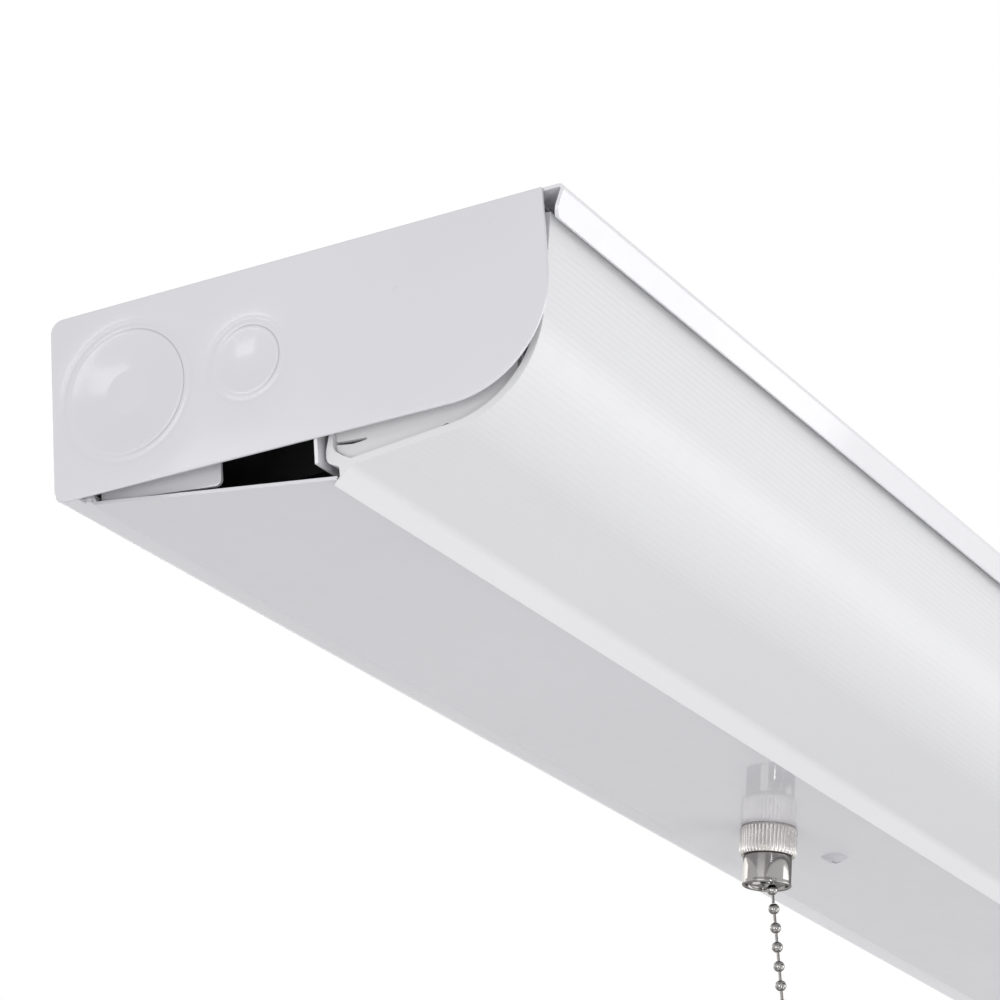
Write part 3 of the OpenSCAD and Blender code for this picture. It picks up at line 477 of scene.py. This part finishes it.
# Face of the plate: columns in Y, each from the lower outline to the top, inset by the edge
# radius; then the outline, offset by r sin t and sunk by r (1 - cos t), down to the back
def buildEndPlate(side):
    facts = endPlate
    r = facts["edgeR"]
    low, high = facts["edgeY"] + r, facts["wallY"] - r
    bottom, top = -facts["height"] + r, -r
    cornerR, smallR = facts["cornerR"] - r, facts["smallR"] - r
    arc = np.linspace(0, pi / 2, int(cornerR * pi / 2 / facts["cell"]))
    endArc = np.linspace(0, pi / 2, facts["smallSteps"])
    middle = np.linspace(low + cornerR, high - smallR,
                         int((high - low - cornerR - smallR) / facts["cell"]))
    y = np.concatenate([low + cornerR * (1 - np.cos(arc)), middle[1:-1],
                        high - smallR + smallR * np.sin(endArc)])
    inCorner = np.clip((low + cornerR - y) / cornerR, 0, 1)
    inSmall = np.clip((y - high + smallR) / smallR, 0, 1)
    lower = bottom + cornerR * (1 - np.sqrt(1 - inCorner ** 2))
    lower += smallR * (1 - np.sqrt(np.clip(1 - inSmall ** 2, 0, 1)))
    upper = top - smallR * (1 - np.sqrt(np.clip(1 - inSmall ** 2, 0, 1)))
    share = np.linspace(0, 1, int(facts["height"] / facts["cell"]))[:, None]
    gridY, gridZ = np.broadcast_arrays(y[None, :], lower + share * (upper - lower))
    depth = pressedDepth(gridY, gridZ)
    face = np.stack([side * (facts["x"] - depth), gridY, gridZ], axis=-1) * mm
    rim = np.concatenate([face[0], face[1:, -1], face[-1, -2::-1], face[-2:0:-1, 0]])
    flat = rim[:, 1:] / mm
    normals = pathNormals(flat, True)
    t, back = np.linspace(0, pi / 2, facts["edgeSteps"]), facts["backR"]
    outset = np.concatenate([r * np.sin(t), [r, r - back]])
    sink = np.concatenate([r * (1 - np.cos(t)), [facts["sheet"] - back, facts["sheet"]]])
    rings = np.empty((len(outset), len(rim), 3))
    rings[:, :, 0] = side * (facts["x"] - sink[:, None])
    rings[:, :, 1:] = flat[None] + outset[:, None, None] * normals[None]
    rings *= mm
    rings[0] = rim
    edge, edgeFaces = gridPart(rings)
    edgeFaces.append(list(range(len(edge) - len(rim), len(edge))))
    return [gridPart(face, wrapJ=False), (edge, edgeFaces)] + weldFlanges(side)


# Painted shadow in the scored line round each disc, thin and darker on one side, mixed over the
# paint's tone
def paintScoreShadows(material):
    tree = material.node_tree
    shader = tree.nodes["Principled BSDF"]
    tone = shader.inputs["Base Color"].links[0].from_socket
    for disc in endPlate["discs"].values():
        arc = placeGroup(tree, scoreShadowGroup, Centre=(0, disc["y"] * mm, disc["z"] * mm),
                         Toward=(0, *disc["toward"]), Radius=disc["r"] * mm,
                         Width=endPlate["paintedScoreShade"]["width"] * mm)
        mix = addNode(tree, "ShaderNodeMix", data_type="RGBA")
        tree.links.new(arc.outputs["Mask"], mix.inputs["Factor"])
        tree.links.new(tone, mix.inputs["A"])
        mix.inputs["B"].default_value = (*endPlate["paintedScoreShade"]["tone"], 1)
        tone = mix.outputs["Result"]
    tree.links.new(tone, shader.inputs["Base Color"])


paintScoreShadows(finishes["shadedEndPaint"])
for side, end in ((-1, "left"), (1, "right")):
    piece = makePiece("pressedEnd_" + end, buildEndPlate(side), angle=40)
    dress(piece, "shadedEndPaint", "housing_paint", "housing", "end_plate_" + end)
print("end plates made")


# Lens skin: fine lengthwise ribs over the round side and the flat underside
lensSkin = {"lip": (-44.35, -3.6), "knee": (-6.2, -38.0975), "foot": (-3.05, -40.8975),
            "roundR": 19.0, "kneeR": 3.0, "lean": 8.6, "slope": 5.2, "length": 465.0,
            "pitch": 1.15, "height": 0.026, "lift": 0.03, "sink": 0.25, "start": 3.0,
            "stop": 9.5, "fade": 2.0, "taper": 0.4, "samples": 9, "roundSteps": 90,
            "kneeSteps": 24, "sections": 5, "inside": (20.0, 20.0)}


# Profile: top edge, round corner, knee and foot; the skin stands on it by lift, plus the
# height of the ribs (1 - cos(2 pi s / pitch)) / 2, faded at both sides, for the distance s
def buildLensSkin():
    facts = lensSkin
    tip, knee, foot = (np.array(facts[key]) for key in ("lip", "knee", "foot"))
    lean, slope = radians(facts["lean"]), radians(facts["slope"])
    down = np.array([np.sin(lean), -np.cos(lean)])
    back = np.array([-np.cos(slope), np.sin(slope)])
    reach = np.linalg.solve(np.stack([down, -back], axis=1), knee - tip)[0]
    corner = tip + down * reach
    route = np.vstack([tip[None],
                       cornerArc(tip, corner, knee, facts["roundR"], facts["roundSteps"]),
                       cornerArc(corner, knee, foot, facts["kneeR"], facts["kneeSteps"]),
                       foot[None]])
    distance = np.concatenate([[0], np.cumsum(np.linalg.norm(np.diff(route, axis=0), axis=1))])
    count = int(distance[-1] / facts["pitch"] * facts["samples"])
    s = np.linspace(0, distance[-1], count)
    path = np.stack([np.interp(s, distance, route[:, k]) for k in (0, 1)], axis=-1)
    normals = -pathNormals(path, False)
    inward = corner + np.array(facts["inside"]) - path
    normals *= -np.sign((normals * inward).sum(1))[:, None]
    fade = np.clip((s - facts["start"]) / facts["fade"], 0, 1)
    fade *= np.clip((s[-1] - facts["stop"] - s) / facts["fade"], 0, 1)
    ribs = facts["height"] * fade * (1 - np.cos(2 * pi * s / facts["pitch"])) / 2
    taper = np.clip(np.minimum(s, s[-1] - s) / facts["taper"], 0, 1)
    outer = path + normals * (facts["lift"] * taper + ribs)[:, None]
    inner = path - normals * (facts["sink"] * taper)[:, None]
    loop = np.vstack([outer, inner[-2:0:-1]])
    x = np.linspace(-facts["length"] / 2, facts["length"] / 2, facts["sections"])
    grid = np.empty((len(x), len(loop), 3))
    grid[:, :, 0] = x[:, None]
    grid[:, :, 1:] = loop[None]
    corners, faces = gridPart(grid * mm)
    k = np.arange(len(inner) - 2)  # both ends: quads from the outer to the inner side
    last = len(loop) - 1
    for base in (0, (len(x) - 1) * len(loop)):
        faces += np.stack([base + k + 1, base + k + 2, base + (last - k - 1) % len(loop),
                           base + last - k], axis=-1)[:-1].tolist()
        faces += [[base, base + 1, base + last],
                  [base + len(path) - 1, base + len(path), base + len(path) - 2]]
    return [(corners, faces)]


dress(makePiece("lensSkin", buildLensSkin(), angle=50), "acrylic", "lens_acrylic", "lens")
print("lens skin made")


# Pull switch: knurled nut and ferrule, turned round the switch's tilted axis
switch = {"place": (0.0, 20.8, -36.66), "slope": 7.75, "boreR": 4.75, "gap": 0.02,
          "nutR": 6.1, "nutH": 6.3, "ridges": 44, "ridgeDepth": 0.3, "ridgePower": 0.7,
          "ridgeSteps": 10, "ferruleR": 5.15, "ferruleH": 6.5, "shoulderR": 0.4,
          "rim": {"inset": 0.33, "width": 0.43, "height": 0.45}, "wall": 0.75,
          "bushingEnd": 8.55, "throatR": 3.3, "flareTop": 0.75, "flareH": 2.6,
          "flareStart": 0.15, "segments": 96}


# Directions across the switch, beside it and out of the cover, tilted with the cover's slope
def switchAxes():
    tilt = radians(switch["slope"])
    return (np.array([1.0, 0, 0]), np.array([0, np.cos(tilt), np.sin(tilt)]),
            np.array([0, np.sin(tilt), -np.cos(tilt)]))


# Ring of the nut, in rows of radius, height and share of the knurl: the radius is less by that
# share of the ridge depth times 1 - |sin(n a / 2)| ** power, for n ridges at the angle a
def buildNut():
    across, beside, out = switchAxes()
    r, h, bore, gap = switch["nutR"], switch["nutH"], switch["boreR"], switch["gap"]
    rows = np.array([[bore, gap, 0], [r - 0.5, gap, 0], [r - 0.38, 0.1, 0], [r - 0.1, 0.5, 0.8],
                     [r, 0.62, 1], [r, 2.6, 1], [r, 4.6, 1], [r, h - 0.62, 1],
                     [r - 0.1, h - 0.5, 0.8], [r - 0.38, h - 0.08, 0], [r - 0.5, h, 0],
                     [bore, h, 0]])
    angle = np.linspace(0, 2 * pi, switch["ridges"] * switch["ridgeSteps"], endpoint=False)
    wave = np.abs(np.sin(switch["ridges"] * angle / 2)) ** switch["ridgePower"]
    cut = switch["ridgeDepth"] * (1 - wave)
    radius = rows[:, :1] - rows[:, 2:] * cut
    ring = np.cos(angle)[:, None] * across + np.sin(angle)[:, None] * beside
    points = np.array(switch["place"]) + radius[:, :, None] * ring + rows[:, 1, None, None] * out
    return [gridPart(points * mm, wrapI=True)]


# Ferrule: a turned shell with a soft shoulder and a rolled mouth, flared inside as a quarter
# of an ellipse from the throat out to the rim
def buildFerrule():
    across, beside, out = switchAxes()
    r, top = switch["ferruleR"], switch["nutH"]
    low, bore, wall = top + switch["ferruleH"], switch["boreR"], switch["wall"]
    throat, soft, gap = switch["throatR"], switch["shoulderR"], switch["gap"]
    rim, flareTop = switch["rim"], low - switch["flareTop"]
    t = np.linspace(0, pi, 13)
    shoulder = np.linspace(0, pi / 2, 5)
    profile = [[bore, top + gap]]
    profile += np.stack([r - soft + soft * np.sin(shoulder),
                         top + gap + soft - soft * np.cos(shoulder)], axis=-1).tolist()
    profile += [[r, top + 3.0], [r, low - 1.1], [r - 0.02, low - 0.92]]  # side and small neck
    profile += np.stack([r - rim["inset"] + rim["width"] * np.cos(t),
                         low - rim["height"] + rim["height"] * np.sin(t)], axis=-1).tolist()
    flare = np.linspace(switch["flareStart"], pi / 2, 10)
    profile += np.stack([throat + (r - wall - throat) * (1 - np.sin(flare)),
                         flareTop - switch["flareH"] * (1 - np.cos(flare))], axis=-1).tolist()
    profile += [[throat, switch["bushingEnd"]], [bore, switch["bushingEnd"]]]
    points = turnedPoints(profile, np.array(switch["place"]), across, beside, out,
                          switch["segments"])
    return [gridPart(points * mm, wrapI=True)]


dress(makePiece("knurledRing", buildNut(), angle=28), "knurl", "chrome", "housing",
      "knurled_nut")
dress(makePiece("rolledFerrule", buildFerrule(), angle=35), "shadedNickel", "chrome", "housing",
      "chain_ferrule")
print("switch made")


# Bead chain: hollow beads with a small lip at each hole, on thin links, and a bell at its end
chain = {"x": 0.0, "y": 21.3205, "z": -50.2371, "beadR": 1.175, "pitch": 4.15, "count": 34,
         "holeR": 0.5, "lip": ((0.297, 0.12), (0.42, 0.02)), "linkR": 0.33, "rootShare": 0.8,
         "softR": 0.12, "slip": 0.15, "segments": 28}
stem = {"beads": 2, "low": 1.0, "high": 12.5, "r": 0.7, "headLow": 12.0, "headHigh": 13.0,
        "headR": 1.8}
bell = {"r": 3.2, "h": 9.0, "shape": ((0, 0), (1, 0), (1, 0.3), (0.45, 0.8), (0.4, 1), (0, 1)),
        "rounds": (0.8, 2.5, 2.5, 0.4), "steps": (7, 9, 7, 5), "segments": 48}
xAxis, yAxis, zAxis = np.eye(3)


# Bead: r = R sin v and h = R cos v from hole to hole, with a lip turned inward at each, given by
# its radius and its depth inside the hole's edge
def beadPart(z):
    radius, hole = chain["beadR"], chain["holeR"]
    first = np.arcsin(hole / radius)
    v = np.linspace(first, pi - first, 15)
    edge = radius * np.cos(first)
    lip = np.array(chain["lip"]) * [1, -1] + [0, edge]
    ball = np.stack([radius * np.sin(v), radius * np.cos(v)], axis=-1)
    profile = np.vstack([lip, ball, lip[::-1] * [1, -1]])
    points = turnedPoints(profile, np.array([chain["x"], chain["y"], z]), xAxis, yAxis, zAxis,
                          chain["segments"])
    return gridPart(points * mm, caps=True)


# Rod: a straight round side from top to bottom, with both ends bevelled by softR or by a third
# of the radius, whichever is less
def rodPart(top, bottom, radius, segments=16):
    soft = min(chain["softR"], radius / 3)
    profile = [[radius - soft, top], [radius, top - soft], [radius, bottom + soft],
               [radius - soft, bottom]]
    points = turnedPoints(profile, np.array([chain["x"], chain["y"], 0.0]), xAxis, yAxis, zAxis,
                          segments)
    return gridPart(points * mm, caps=True)


# Hanging run of beads, with a link from each bead to just short of the next one below
def beadRun(first, last, lastLink):
    parts = []
    for index in range(first, last + 1):
        z = chain["z"] - index * chain["pitch"]
        length = chain["pitch"] if index < last else lastLink
        root = z - chain["beadR"] * chain["rootShare"]
        parts += [beadPart(z), rodPart(root, z - length, chain["linkR"])]
    return parts


# Bell: an outline in shares of radius and height, each of its corners rounded by an arc, turned
# round the chain's axis
def buildBell():
    top = chain["z"] - (chain["count"] + 1) * chain["pitch"]
    outline = np.array(bell["shape"]) * (bell["r"], bell["h"])
    path = np.vstack([cornerArc(*outline[k:k + 3], rounding, steps) for k, (rounding, steps)
                      in enumerate(zip(bell["rounds"], bell["steps"]))])
    centre = np.array([chain["x"], chain["y"], top - bell["h"]])
    points = turnedPoints(path, centre, xAxis, yAxis, zAxis, bell["segments"])
    return [gridPart(points * mm, caps=True)]


shortLink = chain["pitch"] - chain["beadR"] - chain["slip"]
stemZ = chain["z"] + stem["beads"] * chain["pitch"]
stemParts = beadRun(-stem["beads"], -1, shortLink)
stemParts += [rodPart(stemZ + stem["high"], stemZ + stem["low"], stem["r"], 24),
              rodPart(stemZ + stem["headHigh"], stemZ + stem["headLow"], stem["headR"], 32)]
dress(makePiece("stemBeads", stemParts), "shadedNickel", "chrome", "pull_stem", "pull_stem")
dress(makePiece("swingBead", beadRun(0, 0, shortLink)), "shadedNickel", "chrome", "chain_link",
      "chain_link")
dress(makePiece("hangingBeads", beadRun(1, chain["count"], chain["pitch"])), "shadedNickel",
      "chrome", "chain", "pull_chain")
dress(makePiece("chainEnd", buildBell()), "shadedNickel", "chrome", "chain", "chain_bell")
print("chain made")


# Lamp: glass tube with drawn-in ends, crimped caps and round-tipped pins
lamp = {"y": -24.5, "z": -19.0, "length": 437.4, "segments": 72,
        "glassR": 12.55, "glass": 0.8, "glassSet": 1.6,
        "neck": {"depth": 0.5, "length": 2.0, "first": 0.8, "straight": 4.0},
        "capR": 12.9, "capLength": 10.0, "capEdgeR": 1.2, "capFlatR": 6.0, "capHoleR": 0.6,
        "capWall": 1.5, "capGap": 0.04, "capLip": 0.06,
        "crimp": {"place": 6.4, "depth": 0.22, "width": 0.7, "span": (1.8, 9.5), "steps": 26},
        "pinR": 1.175, "pinLength": 7.1, "pinGap": 12.7, "pinRoot": 0.1, "pinTipR": 0.6,
        "pinShoulder": 0.7, "pinSegments": 24}


# Profile of [r, h] turned round the lamp's axis, or round one that is moved by y
def lampTurned(profile, segments=lamp["segments"], y=0.0):
    centre = np.array([0.0, lamp["y"] + y, lamp["z"]])
    return turnedPoints(profile, centre, yAxis, zAxis, xAxis, segments) * mm


# Tube: the glass's radius, less up to the neck's depth over the last stretch at each end, and
# the same line again on the inside
def buildTube():
    half, neck = lamp["length"] / 2 - lamp["glassSet"], lamp["neck"]
    straight = half - neck["straight"]
    x = np.concatenate([[-half, neck["first"] - half], np.linspace(-straight, straight, 9),
                        [half - neck["first"], half]])
    drawn = np.clip((np.abs(x) - half + neck["length"]) / neck["length"], 0, 1)
    outer = np.stack([lamp["glassR"] - neck["depth"] * drawn, x], axis=-1)
    return [gridPart(lampTurned(np.vstack([outer, outer[::-1] - [lamp["glass"], 0]])),
                     wrapI=True)]


# Cap: a flat face, an edge rolled by a quarter circle, a side with a crimp of depth times
# exp(-((h - place) / width) ** 2), a lip on the glass, and the inside; h runs in from the face
def buildCap(side):
    r, length, wall = lamp["capR"], lamp["capLength"], lamp["capWall"]
    edge, crimp, hole = lamp["capEdgeR"], lamp["crimp"], lamp["capHoleR"]
    bore = lamp["glassR"] + lamp["capGap"]
    t = np.linspace(0, pi / 2, 7)
    rolled = np.stack([r - edge + edge * np.sin(t), edge - edge * np.cos(t)], axis=-1)
    h = np.linspace(*crimp["span"], crimp["steps"])
    waist = r - crimp["depth"] * np.exp(-((h - crimp["place"]) / crimp["width"]) ** 2)
    profile = np.vstack([[[hole, 0.0], [lamp["capFlatR"], 0.0]], rolled,
                         np.stack([waist, h], axis=-1),
                         [[r - lamp["capLip"], length], [bore, length], [bore, wall],
                          [hole, wall]]])
    profile[:, 1] = side * (lamp["length"] / 2 - profile[:, 1])
    return [gridPart(lampTurned(profile), wrapI=True)]


# Pins: a straight side and a tip rounded by a quarter circle, turned round two axes
def buildPins(side):
    r, soft, face = lamp["pinR"], lamp["pinTipR"], lamp["length"] / 2
    tip = face + lamp["pinLength"]
    t = np.linspace(0, pi / 2, 6)
    rounded = np.stack([r - soft + soft * np.cos(t), tip - soft + soft * np.sin(t)], axis=-1)
    profile = np.vstack([[[r, face - lamp["pinRoot"]], [r, tip - lamp["pinShoulder"]]],
                         rounded[1:]]) * [1, side]
    return [gridPart(lampTurned(profile, lamp["pinSegments"], way * lamp["pinGap"] / 2),
                     caps=True) for way in (-1, 1)]


dress(makePiece("glassTube", buildTube(), angle=50), "phosphorGlass", "lamp_glass", "lamp",
      "lamp_tube")
for side, end in ((-1, "left"), (1, "right")):
    dress(makePiece("crimpedCap_" + end, buildCap(side), angle=40), "capAluminium",
          "cap_aluminium", "lamp", "lamp_cap_" + end)
    dress(makePiece("lampPins_" + end, buildPins(side), angle=40), "brass", "contact_brass",
          "lamp", "lamp_pins_" + end)
print("lamp made")


# Studio: a pale floor far below, soft lamps and a dark card for the metal
studio = {"floorZ": -2.8, "floorHalf": 9.0, "floorTone": 0.75, "matt": 0.9, "ambient": 0.66,
          "ambientTone": (0.985, 0.985, 1.0, 1)}
softboxes = {
    "endSoftbox": {"place": (-1.5, 0.25, -0.45), "aim": (-0.2, 0, -0.02), "size": (1.0, 0.8),
                   "power": 4.9},
    "discSoftbox": {"place": (-1.325, 0.58, 0.428), "aim": (-0.235, 0.02, -0.016),
                    "size": (0.16, 0.095), "power": 0.2},
    "lowSoftbox": {"place": (-0.5, 0.1, -1.15), "aim": (0, 0, 0), "size": (1.2, 0.9),
                   "power": 1.7},
    "lensSoftbox": {"place": (0.28, -1.0, -0.9), "aim": (0, -0.04, -0.02), "size": (1.4, 0.6),
                    "power": 3.6},
    "sideSoftbox": {"place": (0.95, -1.25, -0.2), "aim": (0.15, -0.04, -0.02), "size": (1.2, 0.7),
                    "power": 5.5},
    "keyLamp": {"place": (-0.88, -0.70, -0.68), "aim": (0, 0.02, -0.045), "size": (0.06, 0.45),
                "power": 1.8},
    "wallSoftbox": {"place": (0.55, 1.25, 0.42), "aim": (0, 0.02, -0.04), "size": (1.7, 0.3),
                    "power": 3.4},
}
# A dark card that only shines back from metal, as a photographer's flag does
flag = {"low": (-0.65, -1.4, 0.3), "high": (0.75, -1.4, 1.0), "tone": 0.02}


# Turn that points a lamp from its place to its aim
def aimed(place, aim):
    return (Vector(place) - Vector(aim)).to_track_quat("Z", "Y").to_matrix().to_4x4()


# Matt sheet over a grid of corners
def makeStage(name, corners, tone):
    stage = makePiece(name, [gridPart(np.array(corners, float), wrapJ=False)])
    material, _, shader = newMaterial(name + "Paint")
    shader.inputs["Base Color"].default_value = (tone, tone, tone, 1)
    shader.inputs["Roughness"].default_value = studio["matt"]
    stage.data.materials.append(material)
    return stage


# World that looks white and lights with the ambient tone, the lamps, the floor and the card
def makeStudio():
    world = bpy.data.worlds.new("studioWorld")
    bpy.context.scene.world = world
    world.use_nodes = True
    tree = world.node_tree
    tree.nodes.clear()
    path = addNode(tree, "ShaderNodeLightPath")
    seen = addNode(tree, "ShaderNodeMath", operation="MAXIMUM")
    tree.links.new(path.outputs["Is Camera Ray"], seen.inputs[0])
    tree.links.new(path.outputs["Is Glossy Ray"], seen.inputs[1])
    shown = addNode(tree, "ShaderNodeMath", operation="MAXIMUM")
    tree.links.new(seen.outputs["Value"], shown.inputs[0])
    tree.links.new(path.outputs["Is Transmission Ray"], shown.inputs[1])
    ambient = addNode(tree, "ShaderNodeBackground", {"Color": studio["ambientTone"],
                                                     "Strength": studio["ambient"]})
    white = addNode(tree, "ShaderNodeBackground", {"Color": (1, 1, 1, 1), "Strength": 1.0})
    mix = addNode(tree, "ShaderNodeMixShader")
    out = addNode(tree, "ShaderNodeOutputWorld")
    tree.links.new(shown.outputs["Value"], mix.inputs["Fac"])
    tree.links.new(ambient.outputs["Background"], mix.inputs[1])
    tree.links.new(white.outputs["Background"], mix.inputs[2])
    tree.links.new(mix.outputs["Shader"], out.inputs["Surface"])
    for name, facts in softboxes.items():
        data = bpy.data.lights.new(name, "AREA")
        data.shape = "RECTANGLE"
        data.size, data.size_y = facts["size"]
        data.energy = facts["power"]
        light = bpy.data.objects.new(name, data)
        turn = aimed(facts["place"], facts["aim"])
        light.matrix_world = Matrix.Translation(facts["place"]) @ turn
        bpy.context.scene.collection.objects.link(light)
    half, z = studio["floorHalf"], studio["floorZ"]
    makeStage("studioFloor", [[[-half, -half, z], [half, -half, z]],
                              [[-half, half, z], [half, half, z]]], studio["floorTone"])
    (x0, y, z0), (x1, _, z1) = flag["low"], flag["high"]
    card = makeStage("studioFlag", [[[x0, y, z0], [x1, y, z0]], [[x0, y, z1], [x1, y, z1]]],
                     flag["tone"])
    card.visible_camera = card.visible_diffuse = card.visible_shadow = False


makeStudio()
print("studio made")


# Camera at the photograph's place, with its right and forward directions in the frame; its up
# is square to both
cameraFacts = {"place": (-0.754428, -0.280628, -0.278490), "right": (0.4508, -0.8905, -0.0611),
               "forward": (0.8397, 0.3999, 0.3674), "focalPixels": 3981.7,
               "imagePixels": 1000, "sensor": 36.0, "clip": (0.01, 50)}


def makeCamera():
    facts = cameraFacts
    forward = Vector(facts["forward"]).normalized()
    right = Vector(facts["right"])
    right = (right - forward * right.dot(forward)).normalized()
    up = right.cross(forward)
    data = bpy.data.cameras.new("photoCamera")
    data.sensor_width = facts["sensor"]
    data.lens = facts["focalPixels"] * facts["sensor"] / facts["imagePixels"]
    data.clip_start, data.clip_end = facts["clip"]
    camera = bpy.data.objects.new("photoCamera", data)
    turn = Matrix((right, up, -forward)).transposed().to_4x4()
    camera.matrix_world = Matrix.Translation(facts["place"]) @ turn
    bpy.context.scene.collection.objects.link(camera)
    bpy.context.scene.camera = camera


makeCamera()
bpy.context.scene.view_settings.view_transform = "Standard"
print("camera made")
